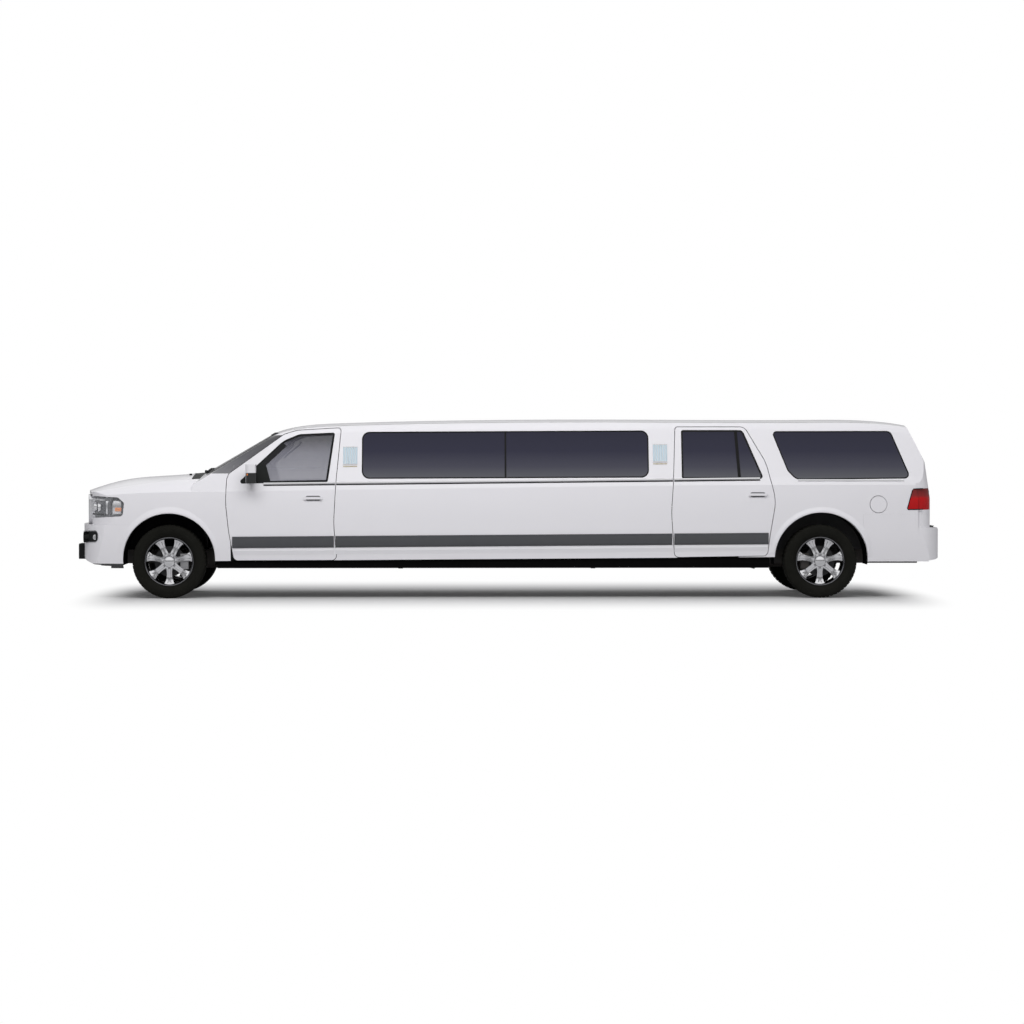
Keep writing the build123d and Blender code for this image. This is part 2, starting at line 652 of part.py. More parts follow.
# ---------------------------------------------------------------- nose
BUMPER_FRONT_PLAN = upward(nose_plan(0, CLIP_REACH), 0, BUMPER_TOP_Z)
FASCIA_PLAN = upward(nose_plan(FASCIA_SETBACK, CLIP_REACH), 0, 1500)
CLIP_BODY = CLIP_SOLID & FASCIA_PLAN
CLIP_INSIDE = CLIP_HOLLOW & upward(nose_plan(FASCIA_SETBACK + CLIP_WALL, CLIP_REACH), -50, 1500)
CLIP_SHELL = CLIP_BODY - CLIP_INSIDE
HOOD_TRIM_Z = 1146             # lower edge of the hood's leading edge
HOOD = CLIP_SHELL & block(front(HOOD_FRONT - 200), front(HOOD_REAR), -HOOD_HALF, HOOD_HALF, HOOD_TRIM_Z, 1500)
HEADLAMP_INNER_Y = 560
LAMP_R = side_prism(HEADLAMP, low=HEADLAMP_INNER_Y)
HEADLAMPS_R = CLIP_SHELL & side_prism(HEADLAMP, low=HEADLAMP_INNER_Y, grow=-SEAT_FIT)
FENDER_REGION = block(
    front(-FRONT_OVERHANG), DOOR_LEAD + 50, HOOD_HALF + PANEL_GAP, FAR, BUMPER_TOP_Z, 1500)
FENDER_REGION = FENDER_REGION + block(
    front(-100), DOOR_LEAD + 50, HOOD_HALF + PANEL_GAP, FAR, 0, 1500)
FENDER_R = (CLIP_SHELL & FENDER_REGION) - BELOW_SILL - FRONT_WELL - FRONT_APERTURE_R - LAMP_R
FENDER_R = FENDER_R - block(front(-FRONT_OVERHANG - 100), front(-420), -FAR, FAR, 0, BUMPER_TOP_Z + SEAM)
FRONT_HINGES_R = hinge_arms(FRONT_HINGE_X, (FRONT_HINGE_X - 86, HINGE_Y - 16))
FENDER_R = fused([FENDER_R, *FRONT_HINGES_R])
GRILLE_BACK = 70
GRILLE_OUT = [
    (-HEADLAMP_INNER_Y + 8, 1136, 60), (-470, BUMPER_TOP_Z + SEAM, 60),
    (470, BUMPER_TOP_Z + SEAM, 60), (HEADLAMP_INNER_Y - 8, 1136, 60),
]
GRILLE_IN = [(-505, 1100, 40), (-430, 850, 40), (430, 850, 40), (505, 1100, 40)]
GRILLE_FRONT = upward(nose_plan(FASCIA_SETBACK - 14, CLIP_REACH), 0, 1500)
GRILLE_REAR = upward(nose_plan(FASCIA_SETBACK - 14 + GRILLE_BACK, CLIP_REACH), -10, 1510)
GRILLE_SLICE = GRILLE_FRONT - GRILLE_REAR
grille_frame = along(rounded(GRILLE_OUT, in_yz), front(-FRONT_OVERHANG), front(-700)) - along(
    rounded(GRILLE_IN, in_yz), front(-FRONT_OVERHANG) - 5, front(-700) + 5)
grille_bars = [block(front(-FRONT_OVERHANG), front(-700), y - 5, y + 5, 830, 1120) for y in range(-440, 441, 80)]
grille_bars += [block(front(-FRONT_OVERHANG), front(-700), -478, 478, z - 5, z + 5) for z in (912, 975, 1038)]
GRILLE = (fused([grille_frame] + grille_bars) & GRILLE_SLICE)

FRONT_BUMPER = CLIP_SOLID & BUMPER_FRONT_PLAN
bumper_hollow = upward(nose_plan(BUMPER_WALL, CLIP_REACH), -10, BUMPER_TOP_Z - 30) + upward(
    nose_plan(FASCIA_SETBACK + 45, CLIP_REACH), -10, BUMPER_TOP_Z + 100)
FRONT_BUMPER = FRONT_BUMPER - (clip(BUMPER_WALL) & bumper_hollow)
FRONT_BUMPER = FRONT_BUMPER - block(front(-430), front(900), -FAR, FAR, 0, 1500)
FRONT_BUMPER = FRONT_BUMPER - FRONT_WELL - mirrored(FRONT_WELL) - fused(both(FRONT_LINER_ROOM))
FRONT_BUMPER = FRONT_BUMPER - LAMP_R - mirrored(LAMP_R)
FRONT_BUMPER = FRONT_BUMPER - along(rounded(GRILLE_OUT, in_yz), front(-FRONT_OVERHANG) - 5, front(-700))
CHIN = [
    (front(-1100), 250), (front(-1100), 530), (front(-1019), 500), (front(-963), 428), (front(-832), 375),
    (front(-640), 358), (front(-640), 250),
]
FRONT_BUMPER = FRONT_BUMPER - across(outline(CHIN, in_xz), -FAR, FAR)
FOG = (735, 670, 60)
FOG_HOLES = [
    Solid.make_cylinder(FOG[2], 400, Plane(origin=(front(-1100), side * FOG[0], FOG[1]), z_dir=(1, 0, 0)))
    for side in (-1, 1)
]
LOWER_GRILLE = along(rounded([(-520, 600, 40), (-480, 455, 40), (480, 455, 40), (520, 600, 40)], in_yz),
                     front(-FRONT_OVERHANG) - 5, front(-800))
FRONT_BUMPER = FRONT_BUMPER - fused(FOG_HOLES) - LOWER_GRILLE
fog_cover = Solid.make_cylinder(
    FOG[2] - SEAT_FIT, 40, Plane(origin=(front(-950), FOG[0], FOG[1]), z_dir=(1, 0, 0)))
FRONT_LAMPS = Compound([*HEADLAMPS_R.solids(), *mirrored(HEADLAMPS_R).solids(), fog_cover, mirrored(fog_cover)])

write("hood", HOOD)
write("fender_right", FENDER_R)
write("fender_left", mirrored(FENDER_R))
write("grille", GRILLE)
write("front_bumper", FRONT_BUMPER)
write("front_lamps", FRONT_LAMPS)

# ---------------------------------------------------------------- cabin frame, windscreen, cowl
SCREEN_OPENING = [(-835, 1385, 60), (-705, 1822, 60), (705, 1822, 60), (835, 1385, 60)]
SCREEN_CUT = along(rounded(SCREEN_OPENING, in_yz), front(0), front(1700))
PILLAR_REGION = block(front(0), PILLAR_END, -FAR, FAR, 1150, TAIL_TOP)
CABIN_FRAME = ((OUTER - INNER) & PILLAR_REGION) - BESIDE_ROOF - CLIP_SOLID - SCREEN_CUT
CABIN_FRAME = CABIN_FRAME - FRONT_APERTURE_R - mirrored(FRONT_APERTURE_R)
SCREEN = (screen_volume(3) - screen_volume(3 + SCREEN_GLASS * 2)) & along(
    offset(Face(rounded(SCREEN_OPENING, in_yz)), amount=-SEAT_FIT, kind=Kind.INTERSECTION).face().outer_wire(),
    front(0), front(1700))
write("cabin_frame", CABIN_FRAME)
write("windscreen", SCREEN)

COWL_TO = front(520)
LEDGE = 12                     # thickness of the cowl's ledge under the hood's rear edge
LEDGE_FROM, LEDGE_TO = front(HOOD_REAR - 35), front(HOOD_REAR + 50)
LEDGE_HALF = HOOD_HALF - 60
COWL = CLIP_SOLID - clip(CLIP_WALL + LEDGE)
COWL = COWL & block(front(HOOD_REAR + PANEL_GAP), COWL_TO, -HOOD_HALF, HOOD_HALF, 1100, 1500)
hood_ledge = clip(CLIP_WALL + SEAM) - clip(CLIP_WALL + LEDGE)
COWL = COWL + (hood_ledge & block(LEDGE_FROM, LEDGE_TO, -LEDGE_HALF, LEDGE_HALF, 1100, 1500))
FIREWALL_X = front(430)
FIREWALL = block(FIREWALL_X, FIREWALL_X + 40, -HOOD_HALF, HOOD_HALF, FLOOR_TOP, 1285)
write("cowl", (COWL + FIREWALL) - CABIN_FRAME - fused(both(FRONT_LINER_ROOM)))

# ---------------------------------------------------------------- floor, rockers, wheel liners
FLOOR_FROM, FLOOR_TO = FIREWALL_X, rear(1120)
FLOOR_HALF = SILL_BOX_OUTER
FLOOR_UNDER = FLOOR_TOP - FLOOR_PLATE
SILL_BOX = (60, 380)           # width and underside of the inner sills
WELL_Z = TYRE_RADIUS + ARCH_RISE
TUB_WALL = 12
TUB_INNER_Y = WELL_INNER_Y + 60


inner_sill = block(front(560), rear(-560), FLOOR_HALF - SILL_BOX[0], FLOOR_HALF, SILL_BOX[1], FLOOR_TOP)
tub = disc(ARCH_X["rear"], WELL_Z, REAR_ARCH + LINER + TUB_WALL, TUB_INNER_Y, FLOOR_HALF)
tub = tub & block(rear(-900), rear(900), 0, FAR, FLOOR_UNDER, 1100)
tub_hole = disc(ARCH_X["rear"], WELL_Z, REAR_ARCH + LINER, TUB_INNER_Y + TUB_WALL, FAR)
plate = block(FLOOR_FROM, FLOOR_TO, -FLOOR_HALF, FLOOR_HALF, FLOOR_UNDER, FLOOR_TOP)
FLOOR = fused([plate, *both(inner_sill), *both(tub)]) - fused(both(tub_hole)) - fused(both(FRONT_LINER_ROOM))
write("floor_pan", FLOOR)

ROCKER_FROM, ROCKER_TO = front(530), rear(-560)
ROCKER_OUTER = HALF_WIDTH - 58
rocker_rows = [
    (ROCKER_FROM, ROCKER_BOTTOM), (ROCKER_FROM, sill_z(ROCKER_FROM) - SEAM),
    (ROCKER_TO, sill_z(ROCKER_TO) - SEAM), (ROCKER_TO, ROCKER_BOTTOM),
]
rocker = across(outline(rocker_rows, in_xz), SILL_BOX_OUTER + SEAM, ROCKER_OUTER)
write("rockers", Compound(both(rocker)))

LINER_SPAN = {
    "front": (WELL_INNER_Y, LINER_OUTER_Y["front"]), "rear": (TUB_INNER_Y + TUB_WALL + SEAM, LINER_OUTER_Y["rear"]),
}
LINER_SKIRT = 60               # the liners end this far below their centre
ARCH_RADIUS = {"front": FRONT_ARCH, "rear": REAR_ARCH}


def liner(end):
    low, high = LINER_SPAN[end]
    x, radius = ARCH_X[end], ARCH_RADIUS[end]
    ring = disc(x, WELL_Z, radius + LINER - SEAM, low, high) - disc(x, WELL_Z, radius, low - 1, high + 1)
    return ring & block(x - 700, x + 700, 0, FAR, WELL_Z - LINER_SKIRT, WELL_Z + 700)


write("wheel_liners", Compound(both(liner("front")) + both(liner("rear"))))

# ---------------------------------------------------------------- ladder frame
RAIL_WIDE, RAIL_HIGH = 70, 150
DIFF_HALF = 150
RAIL_Z = FLOOR_UNDER - 8 - RAIL_HIGH
RAIL_TOP = RAIL_Z + RAIL_HIGH
RAIL_FRONT, RAIL_MIDDLE, RAIL_REAR = 400, 560, 440
rail_edge = [
    (front(-900), RAIL_FRONT), (front(600), RAIL_FRONT), (front(900), RAIL_MIDDLE),
    (rear(-1000), RAIL_MIDDLE), (rear(-700), RAIL_REAR), (rear(1150), RAIL_REAR),
]
rail = upward(outline(rail_edge + [(x, y - RAIL_WIDE) for x, y in reversed(rail_edge)], in_xy), RAIL_Z, RAIL_TOP)
# cross-members: x, half width
CROSSES = [
    (front(-880), RAIL_FRONT), (front(1500), RAIL_MIDDLE), (front(2500), RAIL_MIDDLE), (front(3500), RAIL_MIDDLE),
    (rear(-2500), RAIL_MIDDLE), (rear(-1500), RAIL_MIDDLE), (rear(-640), RAIL_REAR), (rear(560), RAIL_REAR),
    (rear(1080), RAIL_REAR),
]
CROSS_WIDE = 60
cross_members = [
    block(x, x + CROSS_WIDE, -half + 20, half - 20, RAIL_Z + 30, RAIL_Z + 110) for x, half in CROSSES
]
OUTRIGGERS = [front(1000), front(2100), front(3200), rear(-2600), rear(-1200)]
outriggers = [
    block(x, x + 70, RAIL_MIDDLE - 20, FLOOR_HALF - SILL_BOX[0], RAIL_Z + 30, RAIL_Z + 120) for x in OUTRIGGERS
]
PADS = [(x + 5, RAIL_MIDDLE) for x in OUTRIGGERS] + [(rear(-400), RAIL_REAR), (rear(1000), RAIL_REAR)]
pads = [block(x, x + 60, y - 65, y - 5, RAIL_TOP - 1, FLOOR_UNDER) for x, y in PADS]
RECEIVER = 50.8                # square tow-hitch receiver tube
HITCH_Z = RAIL_Z + 70
HITCH_TO = rear(1250)
hitch = block(rear(1080), HITCH_TO, -38, 38, HITCH_Z - 38, HITCH_Z + 38)
socket = block(rear(1110), HITCH_TO + 1, -RECEIVER / 2, RECEIVER / 2, HITCH_Z - RECEIVER / 2, HITCH_Z + RECEIVER / 2)
rights = [rail] + outriggers + pads
SHAFT_INNER = (DIFF_HALF - 10, 330)   # y and z of the half shaft at the differential
shaft_notch = rod((REAR_AXLE, *SHAFT_INNER), (REAR_AXLE, KINGPIN_Y, TYRE_RADIUS), 40)
FRAME = fused([one for piece in rights for one in both(piece)] + cross_members + [hitch]) - socket
FRAME = FRAME - fused(both(shaft_notch))
write("chassis_frame", FRAME)

# ---------------------------------------------------------------- engine, driveline, exhaust, tank
ENGINE = block(front(-560), front(330), -300, 300, RAIL_Z + 20, 1120)
SHAFT_Z = 348
DIFF = (rear(-150), rear(150), DIFF_HALF)
gearbox = block(front(335), front(980), -160, 160, 308, RAIL_Z + 25)
bell = block(front(330) + SEAM, front(400), -160, 160, 308, 515)
shaft = rod((front(970), 0, SHAFT_Z), (DIFF[0] - SEAM, 0, SHAFT_Z), 38)
CARRIER_X = [front(2500), rear(-2500)]
carriers = [block(x + 5, x + 55, -70, 70, SHAFT_Z - 55, RAIL_Z + 30 - SEAM) for x in CARRIER_X]
write("engine", ENGINE)
write("driveline", fused([gearbox, bell, shaft] + carriers))

EXHAUST_Y, EXHAUST_Z, EXHAUST_R = 290, 350, 32
MUFFLER = (rear(-2300), rear(-1500))
pipe = rod((front(1000), EXHAUST_Y, EXHAUST_Z), (rear(-800), EXHAUST_Y, EXHAUST_Z), EXHAUST_R)
muffler = block(*MUFFLER, EXHAUST_Y - 120, EXHAUST_Y + 120, EXHAUST_Z - 50, RAIL_Z + 30 - SEAM)
write("exhaust", pipe + muffler)
TANK = block(rear(-2300), rear(-1050), -RAIL_MIDDLE + RAIL_WIDE + SEAM, -90, 322, RAIL_Z + 30 - SEAM)
write("fuel_tank", TANK)

# ---------------------------------------------------------------- suspension
ARM_LOW, ARM_HIGH = TYRE_RADIUS - 120, TYRE_RADIUS + 92
PIN = 12
BALL = 30
SUBFRAME_Z = (262, 308)
TOWER = (175, 45)              # half length, width


def corner_arms(axle_x, y_in_low, y_in_high):
    """Lower and upper arms of one right-hand wheel, with the pins that the upright turns on."""
    pieces = []
    for z, y_in, towards in ((ARM_LOW, y_in_low, 1), (ARM_HIGH, y_in_high, -1)):
        ball = (axle_x, KINGPIN_Y, z)
        pieces += [rod(ball, (axle_x + dx, y_in, z), 16) for dx in (-150, 150)]
        pieces.append(Solid.make_sphere(BALL, Plane(origin=ball), -90, 90, 360))
        pieces.append(rod(ball, (axle_x, KINGPIN_Y, z + towards * 55), PIN))
    return pieces


def upright(axle_x, bored):
    """Post between the arms with the wheel's spindle."""
    post = rod((axle_x, KINGPIN_Y, ARM_LOW + BALL + 5), (axle_x, KINGPIN_Y, ARM_HIGH - BALL - 5), 30)
    spindle = rod((axle_x, KINGPIN_Y, TYRE_RADIUS), (axle_x, HUB_Y + 50, TYRE_RADIUS), SPINDLE)
    shape = post + spindle
    if bored:
        for z, towards in ((ARM_LOW, 1), (ARM_HIGH, -1)):
            shape = shape - rod((axle_x, KINGPIN_Y, z), (axle_x, KINGPIN_Y, z + towards * 60), PIN + PIN_FIT)
    return shape


SPINDLE = 28
DISC_HALF, DISC_RADIUS = 14, 168
CALIPER = (118, 205)           # inner and outer reach from the wheel's axis


def caliper(axle_x, ahead):
    """Brake caliper astride the disc, joined to the upright by a bracket."""
    x0, x1 = sorted((axle_x + ahead * CALIPER[0], axle_x + ahead * CALIPER[1]))
    body = block(x0, x1, HUB_Y - 32, HUB_Y + 30, TYRE_RADIUS - 85, TYRE_RADIUS + 85)
    slot = disc(axle_x, TYRE_RADIUS, DISC_RADIUS + 6, HUB_Y - DISC_HALF - 6, HUB_Y + DISC_HALF + 6)
    b0, b1 = sorted((axle_x + ahead * 10, axle_x + ahead * (CALIPER[0] + 20)))
    bracket = block(b0, b1, HUB_Y - 45, HUB_Y - DISC_HALF - 8, TYRE_RADIUS - 25, TYRE_RADIUS + 25)
    return body - slot + bracket


lower = block(FRONT_AXLE - 190, FRONT_AXLE + 190, 0, RAIL_FRONT, *SUBFRAME_Z)
riser = block(FRONT_AXLE - 190, FRONT_AXLE + 190, RAIL_FRONT - RAIL_WIDE, RAIL_FRONT, SUBFRAME_Z[0], RAIL_Z - SEAM)
tie = block(FRONT_AXLE - TOWER[0], FRONT_AXLE + TOWER[0], RAIL_FRONT - 30, RAIL_FRONT + TOWER[1], SUBFRAME_Z[0],
            RAIL_Z - SEAM)
link = block(FRONT_AXLE - TOWER[0], FRONT_AXLE + TOWER[0], RAIL_FRONT + SEAM, RAIL_FRONT + TOWER[1], SUBFRAME_Z[0],
             ARM_HIGH + 40)
front_right = [lower, riser, tie, link] + corner_arms(FRONT_AXLE, RAIL_FRONT + 20, RAIL_FRONT + 20)
FRONT_SUSPENSION = fused([one for piece in front_right for one in both(piece)])
write("front_suspension", FRONT_SUSPENSION)
KNUCKLE_R = upright(FRONT_AXLE, True) + caliper(FRONT_AXLE, 1)
write("knuckle_right", KNUCKLE_R)
write("knuckle_left", mirrored(KNUCKLE_R))

diff = block(DIFF[0], DIFF[1], 0, DIFF[2], 262, RAIL_Z + 20)
cradle = block(REAR_AXLE - 190, REAR_AXLE + 190, DIFF[2] - 10, RAIL_REAR, *SUBFRAME_Z)
rise = block(REAR_AXLE - 190, REAR_AXLE + 190, RAIL_REAR - RAIL_WIDE, RAIL_REAR, SUBFRAME_Z[0], RAIL_Z - SEAM)
rear_link = block(REAR_AXLE - TOWER[0], REAR_AXLE + TOWER[0], RAIL_REAR + SEAM, RAIL_REAR + TOWER[1], SUBFRAME_Z[0],
                  FLOOR_UNDER - 2)
rear_tie = block(REAR_AXLE - TOWER[0], REAR_AXLE + TOWER[0], RAIL_REAR - 30, RAIL_REAR + TOWER[1], SUBFRAME_Z[0],
                 RAIL_Z - SEAM)
half_shaft = rod((REAR_AXLE, *SHAFT_INNER), (REAR_AXLE, KINGPIN_Y, TYRE_RADIUS), 24)
rear_post = rod((REAR_AXLE, KINGPIN_Y, ARM_LOW), (REAR_AXLE, KINGPIN_Y, ARM_HIGH), 30)
rear_right = [diff, cradle, rise, rear_tie, rear_link, half_shaft, rear_post, upright(REAR_AXLE, False),
              caliper(REAR_AXLE, -1)] + corner_arms(REAR_AXLE, RAIL_REAR + 20, RAIL_REAR + 20)
REAR_SUSPENSION = fused([one for piece in rear_right for one in both(piece)])
write("rear_suspension", REAR_SUSPENSION)

# ---------------------------------------------------------------- wheels
RIM_HALF = 108
BARREL = 258
BARREL_WALL = 12
SPOKES = 7
# tyre section: distance from the wheel's middle plane, radius
TYRE_SIDE = [(96, BARREL + SEAM), (97, 272), (TYRE_WIDTH / 2, 322), (132, 375), (108, TYRE_RADIUS)]


def turned(rows, x, y):
    """Solid of revolution about the axle; a row is (distance outboard, radius)."""
    face = Face(outline(rows, lambda a, b: Vector(x, y + a, TYRE_RADIUS + b)))
    return Solid.revolve(face, 360, Axis((x, y, TYRE_RADIUS), (0, 1, 0)))


def tyre(x):
    rows = TYRE_SIDE + [(-a, b) for a, b in reversed(TYRE_SIDE)]
    return turned(rows, x, HUB_Y)


def rim(x):
    lip = RIM_RADIUS
    rows = [
        (-RIM_HALF, BARREL - BARREL_WALL), (-RIM_HALF, lip), (-97, lip), (-97, BARREL), (97, BARREL), (97, lip),
        (RIM_HALF, lip), (RIM_HALF, BARREL - BARREL_WALL),
    ]
    barrel = turned(rows, x, HUB_Y)
    hub = disc(x, TYRE_RADIUS, 66, HUB_Y - 20, HUB_Y + 84)
    brake = disc(x, TYRE_RADIUS, DISC_RADIUS, HUB_Y - DISC_HALF, HUB_Y + DISC_HALF)
    bore = disc(x, TYRE_RADIUS, SPINDLE + PIN_FIT, HUB_Y - 30, HUB_Y + 56)
    shape = barrel + hub + brake
    spoke_rows = [(-30, 50), (-21, 150), (-34, BARREL - 6), (34, BARREL - 6), (21, 150), (30, 50)]
    for i in range(SPOKES):
        spoke = across(outline(spoke_rows, in_xz), HUB_Y + 46, HUB_Y + 82).moved(Location((x, 0, TYRE_RADIUS)))
        shape = shape + spoke.rotate(Axis((x, 0, TYRE_RADIUS), (0, 1, 0)), 180 + 360 * i / SPOKES)
    return shape - bore


for end, x in (("front", FRONT_AXLE), ("rear", REAR_AXLE)):
    tyre_r, rim_r = tyre(x), rim(x)
    write(f"tyre_{end}_right", tyre_r)
    write(f"tyre_{end}_left", mirrored(tyre_r))
    write(f"rim_{end}_right", rim_r)
    write(f"rim_{end}_left", mirrored(rim_r))

# ---------------------------------------------------------------- inside
INNER_HALF = HALF_WIDTH - UNDER_INSET - DOOR_WALL - 12
DASH_ROWS = [
    (front(500), 900, 40), (front(530), 1120, 60), (front(680), 1272, 40), (front(900), 1262, 80),
    (front(980), 1120, 80), (front(900), 900, 60),
]
COLUMN_X, COLUMN_Z = front(985), 1098
COLUMN_TILT = 24
STEER_OUT = 115                # steering wheel's centre from the column's foot
STEER_HUB = 40
COLUMN_END = STEER_OUT - STEER_HUB - SEAM
WHEEL_SIDE = -430
column_dir = Vector(cos(radians(COLUMN_TILT)), 0, sin(radians(COLUMN_TILT)))
column_from = Vector(COLUMN_X, WHEEL_SIDE, COLUMN_Z)
column = Solid.make_cylinder(24, 120 + COLUMN_END, Plane(origin=column_from - column_dir * 120, z_dir=column_dir))
dash = across(rounded(DASH_ROWS, in_xz), -INNER_HALF, INNER_HALF)
dash_legs = [block(front(520), front(600), y, y + 50, FLOOR_TOP, 1000) for y in (-INNER_HALF + 10, INNER_HALF - 60)]
console = block(front(620), front(1500), -130, 130, FLOOR_TOP, 860)
front_console = block(front(600), front(900), -130, 130, 800, 1000)
write("dashboard", fused([dash, console, front_console, column] + dash_legs))
steer_centre = column_from + column_dir * STEER_OUT
steer_plane = Plane(origin=steer_centre, z_dir=column_dir, x_dir=(0, 1, 0))
steer_ring = Solid.make_torus(182, 15, steer_plane)
steer_hub = Solid.make_cylinder(62, STEER_HUB, Plane(origin=steer_centre - column_dir * STEER_HUB, z_dir=column_dir))
spoke_bar = Solid.make_box(360, 36, 14).moved(Location((-180, -18, -12))).moved(steer_plane.location)
spoke_down = Solid.make_box(36, 178, 14).moved(Location((-18, -178, -12))).moved(steer_plane.location)
write("steering_wheel", fused([steer_ring, steer_hub, spoke_bar, spoke_down]))

SEAT_ROWS = [
    (front(1180), FLOOR_TOP + 240, 60), (front(1200), 930, 70), (front(1640), 900, 40), (front(1790), 1440, 48),
    (front(1900), 1430, 48), (front(1770), FLOOR_TOP + 240, 60),
]


def chair(y, half):
    seat = across(rounded(SEAT_ROWS, in_xz), y - half, y + half)
    base = block(front(1260), front(1700), y - half + 60, y + half - 60, FLOOR_TOP, FLOOR_TOP + 260)
    rest = block(front(1800), front(1895), y - 130, y + 130, 1400, 1640)
    return fused([seat, base, rest])


write("front_seats", Compound([chair(-430, 260), chair(430, 260)]))
PARTITION_X = front(2030)
PARTITION_HALF = 760
partition = block(PARTITION_X, PARTITION_X + 40, -PARTITION_HALF, PARTITION_HALF, FLOOR_TOP, 1800)
partition = partition + block(PARTITION_X, PARTITION_X + 40, -INNER_HALF, INNER_HALF, FLOOR_TOP, 1150)
partition = partition - block(PARTITION_X - 5, PARTITION_X + 45, -420, 420, 1230, 1660)
write("partition", partition)
LOUNGE_Z = FLOOR_TOP + 420
BENCH = (rear(-1150), rear(-560))
side_seat = block(front(2900), BENCH[0] + 1, 330, INNER_HALF, FLOOR_TOP, LOUNGE_Z)
side_back = block(front(2900), BENCH[0] + 1, INNER_HALF - 130, INNER_HALF - 20, LOUNGE_Z - 1, 1250)
write("lounge_seats", side_seat + side_back)
rear_bench = block(rear(-480), rear(120), -TUB_INNER_Y + 20, TUB_INNER_Y - 20, FLOOR_TOP, LOUNGE_Z)
rear_back = block(rear(0), rear(120), -TUB_INNER_Y + 20, TUB_INNER_Y - 20, LOUNGE_Z - 1, 1420)
write("rear_bench", rear_bench + rear_back)
bar_unit = block(front(2700), rear(-2050), -INNER_HALF, -INNER_HALF + 330, FLOOR_TOP, 1120)
write("bar_cabinet", bar_unit)

# ---------------------------------------------------------------- plate bracket, coach lamps
PLATE_Z, PLATE_WIDE, PLATE_HIGH = 494, 305, 172
PLATE_X = front(-FRONT_OVERHANG - PLATE_STANDOFF)
bracket = block(PLATE_X, front(-FRONT_OVERHANG + 40), -PLATE_WIDE / 2, PLATE_WIDE / 2,
                PLATE_Z - PLATE_HIGH / 2, PLATE_Z + PLATE_HIGH / 2)
PLATE_BOLT, PLATE_BOLT_HALF = 3, 89
for y in (-PLATE_BOLT_HALF, PLATE_BOLT_HALF):
    bracket = bracket - Solid.make_cylinder(
        PLATE_BOLT, 40, Plane(origin=(PLATE_X - 1, y, PLATE_Z + 60), z_dir=(1, 0, 0)))
write("plate_bracket", bracket - FRONT_BUMPER)
COACH = {"front": (front(1990), 1572), "rear": (rear(-1768), 1600)}
COACH_WIDE, COACH_HIGH, COACH_PROUD = 156, 198, 12
proud_body = half_body(cabin(-COACH_PROUD, -COACH_PROUD, 0))
coach = [
    (proud_body & block(x - COACH_WIDE / 2, x + COACH_WIDE / 2, 700, FAR,
                        z - COACH_HIGH / 2, z + COACH_HIGH / 2)) - OUTER
    for x, z in COACH.values()
]
write("coach_lamps", Compound([one for piece in coach for one in both(piece)]))
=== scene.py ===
"""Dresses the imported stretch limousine: finishes, wheels, glass borders, trim, lamps, cabin, studio."""
import fnmatch
from functools import partial
from math import atan2, cos, exp, hypot, pi, radians, sin, sqrt, tan

import bmesh
import bpy
from mathutils import Matrix, Vector


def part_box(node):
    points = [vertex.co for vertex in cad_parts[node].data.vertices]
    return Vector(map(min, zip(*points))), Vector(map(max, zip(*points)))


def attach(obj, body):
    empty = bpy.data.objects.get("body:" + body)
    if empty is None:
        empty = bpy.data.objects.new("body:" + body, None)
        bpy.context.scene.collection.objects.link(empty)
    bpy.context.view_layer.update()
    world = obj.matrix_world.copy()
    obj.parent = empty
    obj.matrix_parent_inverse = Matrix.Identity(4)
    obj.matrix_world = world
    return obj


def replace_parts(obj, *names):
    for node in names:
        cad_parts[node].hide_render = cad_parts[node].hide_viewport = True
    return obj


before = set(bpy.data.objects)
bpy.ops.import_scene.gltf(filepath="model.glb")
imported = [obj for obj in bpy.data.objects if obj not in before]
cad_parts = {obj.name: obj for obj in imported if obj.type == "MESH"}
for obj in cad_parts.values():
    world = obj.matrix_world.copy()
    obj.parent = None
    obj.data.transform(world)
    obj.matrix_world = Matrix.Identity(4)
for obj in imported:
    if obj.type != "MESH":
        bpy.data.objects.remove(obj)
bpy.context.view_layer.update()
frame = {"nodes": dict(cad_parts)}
scene = bpy.context.scene
nodes = frame["nodes"]

# places along X and sizes, metres
FA, RA = -3.739, 3.438                     # front and rear axle
NOSE = FA - 1.019                          # foremost point of the bumper
TAIL = RA + 1.226                          # liftgate at the body's corners
GLASS_DEPTH = -0.0076                      # the side glass lies this far under the body's surface
SIDES = (("left", -1), ("right", 1))
ENDS = (("front", FA), ("rear", RA))

# ------------ camera
camera_data = bpy.data.cameras.new("camera")
camera_data.lens = 108.66                  # mm on a 36 mm sensor
camera_data.sensor_width = 36
camera_data.clip_end = 300
camera = bpy.data.objects.new("camera", camera_data)
camera.location = (-0.65, -35.0, 1.655)
camera.rotation_euler = (radians(90 - 1.186), 0, -radians(1.149))
scene.collection.objects.link(camera)
scene.camera = camera


# ------------ shader nodes
def feed(tree, node, inputs):
    """Gives each input a value, or the output that feeds it."""
    for socket, value in inputs.items():
        if isinstance(value, bpy.types.NodeSocket):
            tree.links.new(value, node.inputs[socket])
        else:
            node.inputs[socket].default_value = value


def add_node(tree, kind, inputs=None, **settings):
    node = tree.nodes.new("ShaderNode" + kind)
    for name, value in settings.items():
        setattr(node, name, value)
    feed(tree, node, inputs or {})
    return node


def fill_ramp(ramp, stops):
    """Colour ramp from (place, colour) stops."""
    while len(ramp.elements) < len(stops):
        ramp.elements.new(0.5)
    for element, (place, tone) in zip(ramp.elements, stops):
        element.position = place
        element.color = (*tone, 1)


